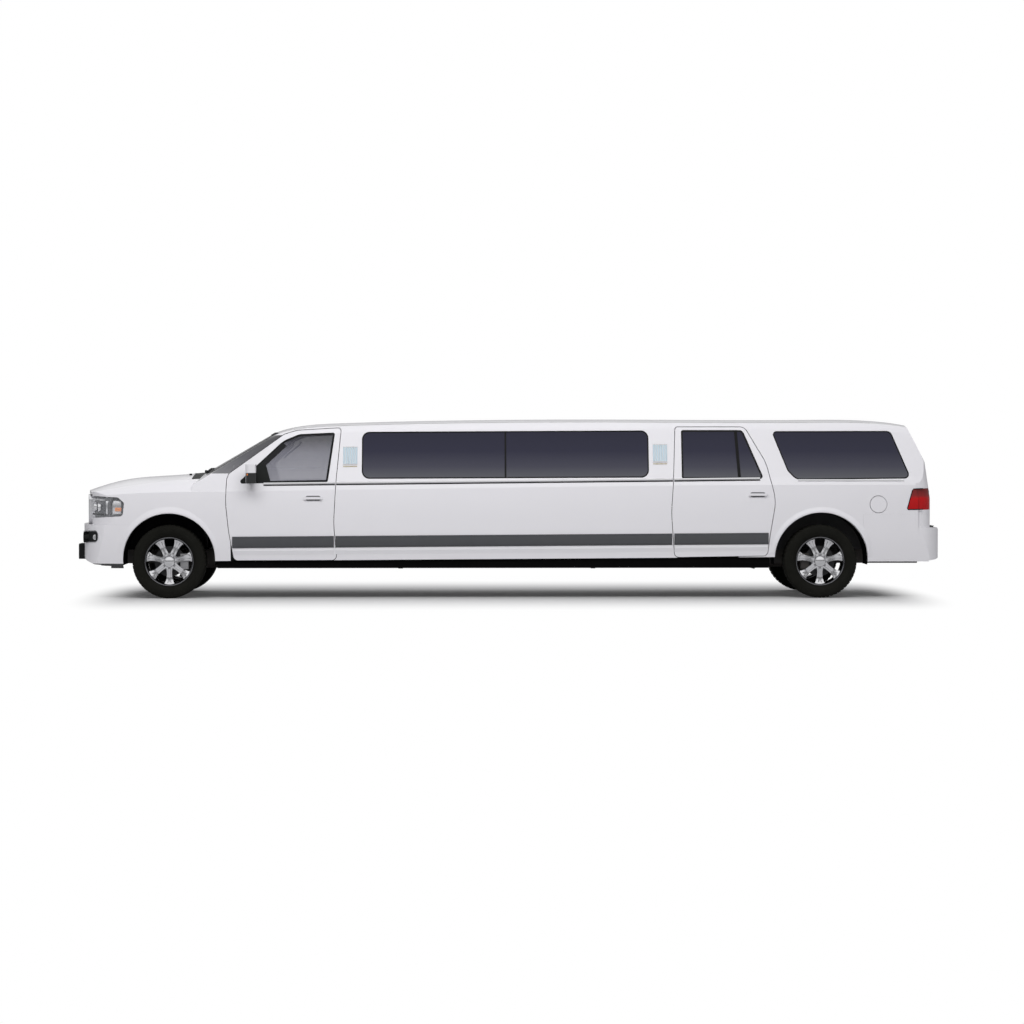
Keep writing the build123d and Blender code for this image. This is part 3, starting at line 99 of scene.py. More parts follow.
# ------------ materials
def material(name, color, rough, metal=0.0, vary=0.05, scale=6.0, bump=0.0, grain=300.0, coat=0.0, alpha=1.0,
             second=None, ramp=None, wear=0.0, spec=0.5):
    """Finish with drifting colour, uneven roughness and a fine bump; ramp rows are (height, colour)."""
    mat = bpy.data.materials.new(name)
    mat.use_nodes = True
    tree = mat.node_tree
    shader = tree.nodes["Principled BSDF"]
    place = add_node(tree, "NewGeometry").outputs["Position"]
    drift = add_node(tree, "TexNoise", {"Vector": place, "Scale": scale, "Detail": 4}).outputs["Fac"]
    dark = second or tuple(c * (1 - vary) for c in color)
    shade = add_node(tree, "MixRGB", {"Fac": drift, "Color1": (*color, 1), "Color2": (*dark, 1)})
    if ramp:
        low, high = ramp[0][0], ramp[-1][0]
        height = add_node(tree, "SeparateXYZ", {0: place}).outputs["Z"]
        span = add_node(tree, "MapRange", {"Value": height, "From Min": low, "From Max": high})
        tones = add_node(tree, "ValToRGB", {"Fac": span.outputs["Result"]})
        fill_ramp(tones.color_ramp, [((z - low) / (high - low), tone) for z, tone in ramp])
        shade = add_node(tree, "MixRGB", {"Fac": 1, "Color1": tones.outputs["Color"],
                                          "Color2": shade.outputs["Color"]}, blend_type="MULTIPLY")
    level = add_node(tree, "MapRange", {"Value": drift, "To Min": max(0.02, rough * 0.85),
                                        "To Max": min(1.0, rough * 1.2 + wear)})
    feed(tree, shader, {"Base Color": shade.outputs["Color"], "Roughness": level.outputs["Result"],
                        "Metallic": metal, "Specular IOR Level": spec, "Alpha": alpha,
                        "Coat Weight": coat, "Coat Roughness": 0.04})
    if bump:
        fine = add_node(tree, "TexNoise", {"Vector": place, "Scale": grain})
        relief = add_node(tree, "Bump", {"Height": fine.outputs["Fac"], "Strength": bump, "Distance": 0.002})
        feed(tree, shader, {"Normal": relief.outputs["Normal"]})
    return mat


WHITE = (0.80, 0.79, 0.82)
PAINT = material("pearl_white_paint", WHITE, 0.34, vary=0.02, scale=2.0, coat=0.55, bump=0.02, grain=900)
LIP_BLACK, CASE_BLACK = (0.02, 0.02, 0.021), (0.014, 0.015, 0.016)
BUMPER = material("bumper_with_black_lip", (1, 1, 1), 0.34, vary=0.02, scale=2.0, coat=0.45,
                  ramp=[(0.30, LIP_BLACK), (0.381, LIP_BLACK), (0.384, WHITE), (1.0, WHITE)])
# White pillar with a dark band standing for the windscreen's dark edge; the band turning lighter towards the
# bottom is painted reflection, as on the glass.
PILLAR = material("windscreen_frame_with_painted_reflection", (1, 1, 1), 0.25, coat=0.6, vary=0.02,
                  ramp=[(1.2, WHITE), (1.372, WHITE), (1.376, (0.17, 0.17, 0.18)),
                        (1.56, (0.07, 0.07, 0.08)), (1.795, (0.03, 0.03, 0.034)), (1.80, WHITE),
                        (1.9, WHITE)])
# Tinted glass whose colour turns lighter towards the bottom: the tint is its own, the lighter lower part is
# a painted reflection of the floor.
GLASS_DARK = material("privacy_glass_painted_reflection", (1, 1, 1), 0.05, vary=0.03, scale=1.5, alpha=0.99, spec=0.36,
                      ramp=[(1.30, (0.100, 0.103, 0.115)), (1.45, (0.045, 0.045, 0.068)),
                            (1.62, (0.014, 0.014, 0.036)), (1.86, (0.008, 0.008, 0.026))])
# Tinted windscreen and partition glass, lighter towards the bottom: the lighter lower part is a painted
# reflection of the floor.
GLASS_SCREEN = material("windscreen_glass_painted_reflection", (1, 1, 1), 0.06, vary=0.03, alpha=0.62,
                        ramp=[(1.36, (0.30, 0.30, 0.33)), (1.82, (0.06, 0.06, 0.08))])
# Faintly tinted door glass; its colour going from light at the bottom to near black at the top is a painted
# reflection.
GLASS_FRONT = material("front_door_glass", (1, 1, 1), 0.05, vary=0.03, alpha=0.50, spec=0.4,
                       ramp=[(1.28, (0.42, 0.42, 0.47)), (1.60, (0.26, 0.26, 0.31)),
                             (1.74, (0.08, 0.08, 0.10)), (1.83, (0.02, 0.02, 0.03))])
CHROME = material("polished_chrome", (0.72, 0.72, 0.74), 0.09, metal=1.0, vary=0.06, scale=14)
CHROME_DARK = material("shadow_chrome", (0.16, 0.16, 0.17), 0.14, metal=1.0, vary=0.1, scale=20)
TRIM = material("side_moulding_grey", (0.075, 0.077, 0.083), 0.45, vary=0.12, scale=9, bump=0.12, grain=500,
                spec=0.3)
BLACK = material("black_plastic", (0.016, 0.017, 0.017), 0.5, vary=0.25, scale=12, bump=0.25, grain=450,
                 wear=0.1, spec=0.12)
GLOSS = material("black_gloss_border", (0.006, 0.006, 0.008), 0.15, vary=0.2, spec=0.25)
RUBBER = material("tyre_rubber", (0.011, 0.011, 0.009), 0.72, vary=0.35, scale=9, bump=0.35, grain=260,
                  wear=0.1, spec=0.10)
SEAL = material("rubber_seal", (0.012, 0.012, 0.012), 0.6, vary=0.2, bump=0.15, grain=600, spec=0.15)
IRON = material("painted_chassis", (0.035, 0.035, 0.036), 0.6, vary=0.4, scale=7, bump=0.3, grain=120,
                wear=0.15, second=(0.055, 0.045, 0.038))
ALLOY = material("cast_alloy", (0.42, 0.42, 0.43), 0.42, metal=0.9, vary=0.2, scale=18, bump=0.3, grain=320)
STEEL = material("brake_steel", (0.38, 0.38, 0.39), 0.3, metal=1.0, vary=0.25, scale=30, bump=0.1, grain=600)
UNDERSEAL = material("floor_underseal", (0.05, 0.05, 0.052), 0.75, vary=0.3, scale=5, bump=0.5, grain=90)
DASH = material("soft_dash", (0.10, 0.095, 0.09), 0.6, vary=0.15, scale=8, bump=0.35, grain=420)
LEATHER = material("seat_leather", (0.060, 0.055, 0.055), 0.42, vary=0.25, scale=5, bump=0.45, grain=350,
                   wear=0.1)
WOOD = material("lacquered_walnut", (0.16, 0.07, 0.03), 0.25, vary=0.5, scale=4, coat=0.8,
                second=(0.07, 0.03, 0.014))
CLOTH = material("headliner_cloth", (0.30, 0.29, 0.28), 0.9, vary=0.08, bump=0.4, grain=700)
LENS = material("clear_lens", (0.86, 0.88, 0.92), 0.06, vary=0.02, alpha=0.10)
BOWL = material("lamp_reflector", (0.90, 0.90, 0.92), 0.12, metal=1.0, vary=0.1, scale=40)
BULB = material("lamp_projector", (0.75, 0.80, 0.88), 0.04, metal=0.2, coat=1.0, vary=0.1)
AMBER = material("amber_marker", (0.90, 0.26, 0.03), 0.2, coat=0.8, vary=0.1, scale=60)
RED = material("tail_lens", (1, 1, 1), 0.16, vary=0.10, scale=40, coat=0.25, spec=0.3,
               ramp=[(0.97, (0.46, 0.003, 0.005)), (1.10, (0.52, 0.006, 0.008)),
                     (1.13, (0.26, 0.022, 0.022)), (1.21, (0.16, 0.016, 0.016))])
LINER = material("arch_liner", (0.004, 0.004, 0.004), 0.95, vary=0.3, bump=0.3, grain=200, spec=0.03)
# Cast-iron brake rotor, coloured near black so that the spoke pockets read dark: painted shade on top of the
# iron's own grey.
ROTOR = material("brake_rotor_painted_pocket_shade", (0.03, 0.03, 0.032), 0.5, metal=0.4, vary=0.3, scale=30, bump=0.1, grain=600)
ENGINE = material("engine_block_cover", (0.010, 0.010, 0.011), 0.8, vary=0.4, scale=9, bump=0.3, grain=220,
                  spec=0.1)
# grey that stands for the shade in a door handle's recess: painted shade
HANDLE_SHADE = material("handle_painted_shade", (0.16, 0.16, 0.17), 0.5, vary=0.15, bump=0.1, grain=500, spec=0.3)
RIB = material("coach_lamp_glass", (0.55, 0.68, 0.76), 0.15, vary=0.1, scale=30, coat=0.8)
GOLD = material("brushed_gold", (0.52, 0.44, 0.24), 0.3, metal=1.0, vary=0.15, scale=50)
MIRROR_CASE = material("mirror_case", (1, 1, 1), 0.3, vary=0.04, coat=0.7,
                       ramp=[(1.25, CASE_BLACK), (1.380, CASE_BLACK), (1.386, WHITE), (1.5, WHITE)])
SILVER = material("mirror_glass", (0.75, 0.77, 0.80), 0.03, metal=1.0, vary=0.02)
TANK = material("tank_plastic", (0.03, 0.03, 0.032), 0.5, vary=0.2, bump=0.3, grain=200)
PLATE = material("blank_plate", (0.62, 0.63, 0.64), 0.45, vary=0.06, scale=12, bump=0.05, grain=500)

# the CAD nodes that each finish goes to, by name pattern
FINISH = {
    BUMPER: "front_bumper",
    PAINT: "roof side_panel_* quarter_panel_* fender_* rear_bumper hood liftgate door_* fuel_door",
    PILLAR: "cabin_frame",
    GLASS_DARK: "fixed_side_glass glass_rear_* liftgate_glass",
    GLASS_SCREEN: "windscreen",
    GLASS_FRONT: "glass_front_*",
    CHROME: "grille rim_*",
    RUBBER: "tyre_*",
    LENS: "front_lamps",
    RIB: "coach_lamps",
    RED: "tail_lamps",
    MIRROR_CASE: "mirror_*",
    BLACK: "cowl plate_bracket",
    LINER: "wheel_liners rockers",
    LEATHER: "steering_wheel front_seats lounge_seats rear_bench",
    IRON: "chassis_frame front_suspension rear_suspension driveline",
    STEEL: "exhaust",
    ENGINE: "engine",
    ALLOY: "knuckle_*",
    TANK: "fuel_tank",
    UNDERSEAL: "floor_pan",
    DASH: "dashboard",
    WOOD: "bar_cabinet partition",
}
for mat, patterns in FINISH.items():
    for pattern in patterns.split():
        for name in fnmatch.filter(nodes, pattern):
            obj = nodes[name]
            if not obj.material_slots:
                obj.data.materials.append(mat)
            for one in obj.material_slots:
                one.material = mat


# ------------ the body's side surface
def belt_z(x):
    """Height of the belt, where the glass begins; it rises rearward up to the rear door, then is level."""
    return 1.292 + 0.009 * (min(x, RA - 1.3) - FA - 0.626)


def crease_z(x):
    """Height of the crease under the belt."""
    return 1.177 + 0.0136 * (min(x, RA - 1.3) - FA - 0.626)


def circle(p, q, r):
    """Centre and radius of the circle through three points."""
    (ax, ay), (bx, by), (cx, cy) = p, q, r
    d = 2 * (ax * (by - cy) + bx * (cy - ay) + cx * (ay - by))
    a, b, c = ax * ax + ay * ay, bx * bx + by * by, cx * cx + cy * cy
    ux = (a * (by - cy) + b * (cy - ay) + c * (ay - by)) / d
    uy = (a * (cx - bx) + b * (ax - cx) + c * (bx - ax)) / d
    return ux, uy, hypot(ax - ux, ay - uy)


# place along the car, how much each side is drawn in
NARROW = [(FA - 0.717, 0.048), (FA - 0.489, 0.022), (FA - 0.216, 0.006), (FA + 0.08, 0.0)]


def nose_narrowing(x):
    """How much each side of the nose is drawn in at x."""
    first, most = NARROW[0]
    if x <= first:
        return most + (first - x) * 0.14
    for (x0, n0), (x1, n1) in zip(NARROW, NARROW[1:]):
        if x <= x1:
            return n0 + (n1 - n0) * (x - x0) / (x1 - x0)
    return 0.0


def side_y(x, z):
    """Half width of the body's side at x, z."""
    belt, crease = belt_z(x), crease_z(x)
    if z >= belt:
        y = 0.956 - (z - belt) * tan(radians(15.5))
    elif z >= crease:
        y = 0.986 - 0.030 * (z - crease) / (belt - crease)
    else:
        cy, cz, r = circle((0.954, 0.332), (1.0, 0.96), (0.986, crease))
        y = cy + sqrt(max(0.0, r * r - (z - cz) ** 2))
    return y - nose_narrowing(x)


def on_side(side, x, z, out):
    """Point a distance outward from the body's side."""
    return x, side * (side_y(x, z) + out), z


def touch(name, start, way):
    """Where a straight line first meets a CAD piece."""
    obj = nodes[name]
    back = obj.matrix_world.inverted()
    found, place, _, _ = obj.ray_cast(back @ Vector(start), back.to_3x3() @ Vector(way))
    return obj.matrix_world @ place if found else None


# ------------ mesh tools
def piece(name, verts, faces, mat, body, slot, smooth=35, mats=None, tags=None):
    """Mesh object that rides on a body; mats and tags give it more than one finish."""
    mesh = bpy.data.meshes.new(name)
    mesh.from_pydata([tuple(v) for v in verts], [], faces)
    mesh.validate()
    bm = bmesh.new()
    bm.from_mesh(mesh)
    bmesh.ops.recalc_face_normals(bm, faces=bm.faces)
    bm.to_mesh(mesh)
    bm.free()
    for one in (mats or [mat]):
        mesh.materials.append(one)
    if tags:
        for poly, tag in zip(mesh.polygons, tags):
            poly.material_index = tag
    mesh.shade_smooth()
    mesh.set_sharp_from_angle(angle=radians(smooth))
    obj = bpy.data.objects.new(name, mesh)
    scene.collection.objects.link(obj)
    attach(obj, body)
    return obj


class Heap:
    """Gathers several closed shells into one piece, each with its own finish."""

    def __init__(self):
        self.verts, self.faces, self.tags, self.mats = [], [], [], []

    def add(self, shell, mat):
        verts, faces = shell
        if mat not in self.mats:
            self.mats.append(mat)
        tag = self.mats.index(mat)
        first = len(self.verts)
        self.faces += [tuple(i + first for i in face) for face in faces]
        self.tags += [tag] * len(faces)
        self.verts += [Vector(v) for v in verts]
        return self

    def make(self, name, body, slot, smooth=35):
        return piece(name, self.verts, self.faces, None, body, slot, smooth, self.mats, self.tags)


def spread(low, high, count):
    """Evenly spaced values with both ends."""
    return [low + (high - low) * k / count for k in range(count + 1)]


def shares(low, high, count, gap):
    """Both ends of equal parts of a length, each drawn in by a gap."""
    ends = spread(low, high, count)
    return [(a + gap, b - gap) for a, b in zip(ends, ends[1:])]


def grid(rows, closed_rows=False, closed_cols=False, caps=True):
    """Quads over rows of points; caps close the first and last row."""
    n, m = len(rows), len(rows[0])
    verts = [p for row in rows for p in row]
    faces = []
    for i in range(n if closed_rows else n - 1):
        for j in range(m if closed_cols else m - 1):
            a, b = i * m + j, i * m + (j + 1) % m
            c, d = ((i + 1) % n) * m + (j + 1) % m, ((i + 1) % n) * m + j
            faces.append((a, b, c, d))
    if caps and not closed_rows and closed_cols:
        faces.append(tuple(range(m)))
        faces.append(tuple(range((n - 1) * m, n * m)))
    return verts, faces


def loft(rows):
    """Solid through closed loops of points."""
    return grid(rows, closed_cols=True)


def slab(rows, thick):
    """Sheet of points given a thickness along X."""
    back = [[(x + thick, y, z) for x, y, z in row] for row in reversed(rows)]
    return grid(rows + back, closed_rows=True, caps=False)


def lathe(profile, center, axis="Y", steps=48):
    """Ring swept about an axis through center; profile rows are (along, radius), a closed loop."""
    rows = []
    for i in range(steps):
        a = 2 * pi * i / steps
        row = []
        for t, r in profile:
            u, v = r * cos(a), r * sin(a)
            dx, dy, dz = {"X": (t, u, v), "Y": (u, t, v), "Z": (u, v, t)}[axis]
            row.append((center[0] + dx, center[1] + dy, center[2] + dz))
        rows.append(row)
    return grid(rows, closed_rows=True, closed_cols=True)


def tube(path, radius, sides=10):
    """Round bar along a path; radius may be a list, one for each point."""
    points = [Vector(p) for p in path]
    rows = []
    for i, p in enumerate(points):
        d = (points[min(i + 1, len(points) - 1)] - points[max(i - 1, 0)]).normalized()
        ref = Vector((0, 0, 1)) if abs(d.z) < 0.9 else Vector((1, 0, 0))
        u = d.cross(ref).normalized()
        v = d.cross(u)
        r = radius[i] if isinstance(radius, list) else radius
        rows.append([p + (u * cos(a) + v * sin(a)) * r for a in spread(0, 2 * pi, sides)[:-1]])
    return loft(rows)


def unpack(bm):
    """Points and faces of a mesh under construction, which is then freed."""
    bm.verts.index_update()
    verts = [v.co.copy() for v in bm.verts]
    faces = [tuple(v.index for v in f.verts) for f in bm.faces]
    bm.free()
    return verts, faces


def brick(x0, x1, y0, y1, z0, z1, bevel):
    """Box with rounded edges."""
    bm = bmesh.new()
    bmesh.ops.create_cube(bm, size=1)
    for v in bm.verts:
        v.co = ((x0 + x1) / 2 + v.co.x * (x1 - x0), (y0 + y1) / 2 + v.co.y * (y1 - y0),
                (z0 + z1) / 2 + v.co.z * (z1 - z0))
    limit = min(abs(x1 - x0), abs(y1 - y0), abs(z1 - z0)) * 0.45
    bmesh.ops.bevel(bm, geom=bm.edges[:], offset=min(bevel, limit), segments=2, affect="EDGES", profile=0.5)
    return unpack(bm)


def rounded(rows):
    """Outline points of a polygon with filleted corners; a row is (a, b, radius)."""
    path = []
    steps = 8
    pts = [Vector((a, b)) for a, b, _ in rows]
    for i, (a, b, radius) in enumerate(rows):
        here, before, after = pts[i], pts[i - 1], pts[(i + 1) % len(pts)]
        u, v = (before - here).normalized(), (after - here).normalized()
        half = u.angle(v) / 2
        if radius == 0 or half > pi / 2 - 0.01:
            path.append(here)
            continue
        reach = radius / tan(half)
        center = here + (u + v).normalized() * (radius / sin(half))
        start, end = here + u * reach, here + v * reach
        a0, a1 = atan2(*(start - center).yx), atan2(*(end - center).yx)
        turn = (a1 - a0 + pi) % (2 * pi) - pi
        path += [center + Vector((cos(a0 + turn * k / steps), sin(a0 + turn * k / steps))) * radius
                 for k in range(steps + 1)]
    return path


def inset(path, distance):
    """Outline moved inward by a distance."""
    n = len(path)
    area = sum(path[i].x * path[(i + 1) % n].y - path[(i + 1) % n].x * path[i].y for i in range(n))
    sign = 1 if area > 0 else -1
    out = []
    for i in range(n):
        d = path[(i + 1) % n] - path[i - 1]
        d.normalize()
        out.append(path[i] + Vector((-d.y, d.x)) * sign * distance)
    return out


def resample(path, spacing):
    """Closed outline with points about a spacing apart."""
    out = []
    for i, p in enumerate(path):
        q = path[(i + 1) % len(path)]
        count = max(1, int((q - p).length / spacing))
        out += [p.lerp(q, k / count) for k in range(count)]
    return out


def band(path, steps, place, closed=True):
    """Moulding along a closed outline; steps are (inset, height over the surface), and place(a, b, height)
    gives a point in space."""
    rings = [[place(p.x, p.y, height) for p in inset(path, move)] for move, height in steps]
    return grid([list(column) for column in zip(*rings)], closed_rows=True, closed_cols=closed)


def border(rows, side, outer, inner, low, high):
    """Band round a window on the body's side, between two insets of its outline and two heights."""
    steps = ((outer, low), (outer, high), (inner, high), (inner, low))
    return band(resample(rounded(rows), 0.12), steps, partial(on_side, side))


def side_strip(side, x0, x1, z_line, profile):
    """Strip along the body's side; profile rows are (outward, height above the line), a closed loop."""
    count = max(1, int((x1 - x0) / 0.2))
    rows = [[on_side(side, x, z_line(x) + h, out) for out, h in profile] for x in spread(x0, x1, count)]
    return loft(rows)


def metres(rows, base):
    """Outline rows in millimetres from an axle, as metres."""
    return [(x / 1000 + base, z / 1000, r / 1000) for x, z, r in rows]


# windows: place along the car, height, corner radius
FRONT_WINDOW = metres([(745, 1262, 24), (1250, 1735, 200), (1425, 1808, 140), (1822, 1827, 24),
                       (1744, 1280, 24)], FA)
REAR_WINDOW = metres([(-1532, 1314, 24), (-1532, 1854, 24), (-850, 1854, 60), (-623, 1314, 30)], RA)
MIDDLE_WINDOW = (metres([(2117, 1315, 85), (2117, 1834, 85)], FA)
                 + metres([(-1893, 1850, 85), (-1893, 1328, 85)], RA))
QUARTER_WINDOW = metres([(-532, 1842, 40), (793, 1845, 70), (1005, 1318, 50), (-268, 1303, 120),
                         (-363, 1402, 120)], RA)


# ------------ wheels
TYRE_R, HUB_Y, RIM_R, SPOKES = 0.405, 0.85, 0.268, 7


def tread_tyre(x, side):
    """Tyre with five ribs, cross grooves and moulded side rings."""
    # (place across the tyre, radius), from the bead to the middle rib
    half = [(0.090, 0.2585), (0.097, 0.262), (0.099, 0.272), (0.106, 0.278), (0.121, 0.292),
            (0.1345, 0.322), (0.1372, 0.340), (0.1355, 0.352), (0.1362, 0.356), (0.1340, 0.372),
            (0.129, 0.386), (0.122, 0.396), (0.112, 0.4015), (0.104, 0.4035), (0.072, 0.4045),
            (0.069, 0.395), (0.059, 0.395), (0.056, 0.4048), (0.024, 0.4050), (0.021, 0.3955),
            (0.011, 0.3955), (0.008, 0.4050)]
    profile = half + [(-t, r) for t, r in reversed(half)]
    # share of the groove's depth at each point of the profile that a cross groove cuts
    lateral = {11: 0.5, 12: 0.9, 13: 1.0, 14: 1.0, 17: 1.0, 18: 1.0, 21: 0.55}
    lateral.update({len(profile) - 1 - k: v for k, v in lateral.items()})
    rows = []
    pitches, groove = 54, 0.008
    for i in range(pitches):
        for part, depth in ((0.0, 1), (0.16, 1), (0.22, 0), (0.94, 0)):
            row = []
            for k, (t, r) in enumerate(profile):
                lag = 0.35 * (t / 0.13) ** 2 * (1 if t > 0 else -1)
                a = 2 * pi * (i + part + lag) / pitches
                r = r - depth * lateral.get(k, 0) * groove
                row.append((x + r * cos(a), side * HUB_Y + t, TYRE_R + r * sin(a)))
            rows.append(row)
    return grid(rows, closed_rows=True, closed_cols=True)


def spoke(angle, x, side):
    """One chrome spoke: a raised middle rib, shoulders and a solid back."""
    # radius, half width, outward place of the face, rib height
    stations = [(0.045, 0.036, 0.078, 0.002), (0.075, 0.036, 0.079, 0.006), (0.110, 0.032, 0.072, 0.010),
                (0.150, 0.032, 0.066, 0.012), (0.190, 0.036, 0.066, 0.012), (0.222, 0.045, 0.071, 0.010),
                (0.244, 0.058, 0.080, 0.005), (0.2565, 0.068, 0.088, 0.001)]
    rows = []
    for r, w, face, rib in stations:
        section = [(-w, face - 0.014), (-w, face - 0.004), (-w * 0.9, face), (-w * 0.42, face),
                   (-w * 0.3, face + rib), (w * 0.3, face + rib), (w * 0.42, face), (w * 0.9, face),
                   (w, face - 0.004), (w, face - 0.014), (w * 0.5, face - 0.036), (-w * 0.5, face - 0.036)]
        row = []
        for across, out in section:
            px = across * cos(angle) + r * sin(angle)
            pz = -across * sin(angle) + r * cos(angle)
            row.append((x + px, side * (HUB_Y + out), TYRE_R + pz))
        rows.append(row)
    return loft(rows)


def mirror_profile(rows, side):
    """Lathe profile turned to face outward on a side."""
    return [(side * t, r) for t, r in rows]


def wheel(end, x, name, side):
    body = f"wheel_{end}_{name}"
    c = (x, side * HUB_Y, TYRE_R)
    rubber = piece(f"tyre_tread_{end}_{name}", *tread_tyre(x, side), RUBBER, body, "tyre", 28)
    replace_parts(rubber, f"tyre_{end}_{name}")
    rim = Heap()
    barrel = [(-0.108, 0.262), (-0.108, RIM_R), (-0.101, RIM_R), (-0.097, 0.2575), (-0.072, 0.2575),
              (-0.055, 0.247), (0.04, 0.247), (0.070, 0.2575), (0.097, 0.2575), (0.101, RIM_R),
              (0.106, 0.2682), (0.108, 0.264), (0.104, 0.257), (0.086, 0.250), (0.060, 0.243),
              (0.035, 0.240), (-0.060, 0.240), (-0.09, 0.249)]
    rim.add(lathe(mirror_profile(barrel, side), c, steps=84), CHROME_DARK)
    for i in range(SPOKES):
        rim.add(spoke(pi + 2 * pi * i / SPOKES, x, side), CHROME)
    hub = [(-0.02, 0.030), (-0.02, 0.066), (0.055, 0.066), (0.072, 0.070), (0.076, 0.066), (0.076, 0.030)]
    rim.add(lathe(mirror_profile(hub, side), c, steps=56), CHROME_DARK)
    cap = [(0.074, 0.001), (0.074, 0.0630), (0.084, 0.0630), (0.0885, 0.0585), (0.0885, 0.0535),
           (0.0862, 0.051), (0.0880, 0.046), (0.0950, 0.030), (0.0978, 0.015), (0.0985, 0.001)]
    rim.add(lathe(mirror_profile(cap, side), c, steps=56), CHROME)
    nut = [(0.05, 0.001), (0.05, 0.012), (0.066, 0.012), (0.069, 0.009), (0.069, 0.001)]
    for i in range(SPOKES):
        a = pi + 2 * pi * (i + 0.5) / SPOKES
        seat = (x + 0.092 * sin(a), side * HUB_Y, TYRE_R + 0.092 * cos(a))
        rim.add(lathe(mirror_profile(nut, side), seat, steps=12), CHROME_DARK)
    stem = (x + 0.226 * sin(0.45), side * (HUB_Y + 0.06), TYRE_R + 0.226 * cos(0.45))
    rim.add(tube([stem, (stem[0], stem[1] + side * 0.018, stem[2] - 0.004)], 0.004), BLACK)
    rotor = [(-0.014, 0.064), (-0.014, 0.168), (-0.005, 0.168), (-0.005, 0.150), (0.005, 0.150),
             (0.005, 0.168), (0.014, 0.168), (0.014, 0.064)]
    rim.add(lathe(mirror_profile(rotor, side), c, steps=72), ROTOR)
    whole = rim.make(f"chrome_wheel_{end}_{name}", body, "chrome", 40)
    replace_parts(whole, f"rim_{end}_{name}")


for end, x in ENDS:
    for name, side in SIDES:
        wheel(end, x, name, side)

# ------------ glass borders and window trim
for name, side in SIDES:
    # window, outline, width of its dark border, body that carries it
    for tag, rows, wide, body in (("front", FRONT_WINDOW, 0.024, f"door_front_{name}"),
                                  ("rear", REAR_WINDOW, 0.020, f"door_rear_{name}"),
                                  ("middle", MIDDLE_WINDOW, 0.014, "body"),
                                  ("quarter", QUARTER_WINDOW, 0.014, "body")):
        edge = Heap().add(border(rows, side, 0.0012, wide, GLASS_DEPTH, GLASS_DEPTH + 0.0012), GLOSS)
        edge.add(border(rows, side, 0.0008, 0.006, GLASS_DEPTH, -0.001), SEAL)
        if tag == "front":
            slant = []
            for x in spread(FA + 0.985, FA + 1.235, 10):
                top = 1.258 + (x - FA - 0.745) * 0.9366
                slant.append([on_side(side, x + dx, top + dz, GLASS_DEPTH + out) for dx, dz, out in
                              ((0, 0, 0), (0, 0, 0.0016), (0.055, -0.038, 0.0016), (0.055, -0.038, 0))])
            edge.add(loft(slant), GLOSS)
        edge.make(f"window_border_{tag}_{name}", body, "black_plastic", 50)
    # dividing bars: middle window, and the rear door's fixed corner light
    for tag, body, half, low, high in (("middle", "body", 0.009, (-0.038, 1.330), (-0.038, 1.832)),
                                       ("rear", f"door_rear_{name}", 0.016, (2.544, 1.322), (2.510, 1.846))):
        flat_half = half - 0.002
        section = [(-half, 0), (-half, 0.002), (-flat_half, 0.004), (flat_half, 0.004), (half, 0.002),
                   (half, 0)]
        rows = [[(x + dx, side * (side_y(x, z) + GLASS_DEPTH + out), z) for dx, out in section]
                for x, z in zip(spread(low[0], high[0], 8), spread(low[1], high[1], 8))]
        piece(f"window_bar_{tag}_{name}", *loft(rows), SEAL, body, "black_plastic")


# ------------ belt trim, side moulding, lower ridge
def belt_line(x):
    return 1.268 + 0.01045 * (x + 2.3)


def quarter_line(_):
    return 1.300


def mould_line(x):
    return 0.553 + 0.0068 * (x + 3.081)


# sections of the strips: outward from the body, height above the line
BELT_BRIGHT = [(-0.006, -0.011), (0.0035, -0.011), (0.006, -0.006), (0.0065, 0.004), (0.004, 0.010),
               (-0.006, 0.011)]
BELT_DARK = [(-0.006, -0.026), (0.002, -0.026), (0.003, -0.0135), (-0.006, -0.0125)]
MOULD = [(-0.006, 0.0), (0.007, 0.001), (0.011, 0.007), (0.0125, 0.030), (0.0125, 0.100), (0.0105, 0.107),
         (0.0105, 0.109), (0.0125, 0.112), (0.010, 0.124), (0.006, 0.127), (-0.006, 0.127)]
RIDGE = [(-0.006, -0.075), (0.001, -0.074), (0.004, -0.050), (0.0075, -0.036), (0.0085, -0.031),
         (0.0015, -0.006), (-0.006, -0.004)]
for name, side in SIDES:
    # body part, the body that carries it, ends of the belt trim, ends of the moulding
    spans = (("door_front", f"door_front_{name}", -2.700, -1.915, -3.044, -1.928),
             ("side_panel", "body", -1.900, 1.806, -1.909, 1.797),
             ("door_rear", f"door_rear_{name}", 1.823, 2.770, 1.822, 2.862))
    for tag, body, b0, b1, m0, m1 in spans:
        strip = Heap().add(side_strip(side, b0, b1, belt_line, BELT_BRIGHT), CHROME)
        strip.add(side_strip(side, b0, b1, belt_line, BELT_DARK), SEAL)
        strip.make(f"belt_trim_{tag}_{name}", body, "chrome")
        piece(f"side_moulding_{tag}_{name}", *side_strip(side, m0, m1, mould_line, MOULD), TRIM, body,
              "black_plastic")
        low0, low1 = m0 + 0.012 * (tag == "door_front"), m1 - 0.012 * (tag == "door_rear")
        ridge = side_strip(side, low0, low1, mould_line, RIDGE)
        piece(f"lower_ridge_{tag}_{name}", *ridge, PAINT, body, "paint")
    strip = side_strip(side, 3.19, 4.36, quarter_line, BELT_BRIGHT)
    piece(f"belt_trim_quarter_{name}", *strip, CHROME, "body", "chrome")


# ------------ door handles: painted recess shade and painted shadow lines
HANDLES = (("front", FA + 1.584, 1.104), ("rear", RA - 0.695, 1.142))
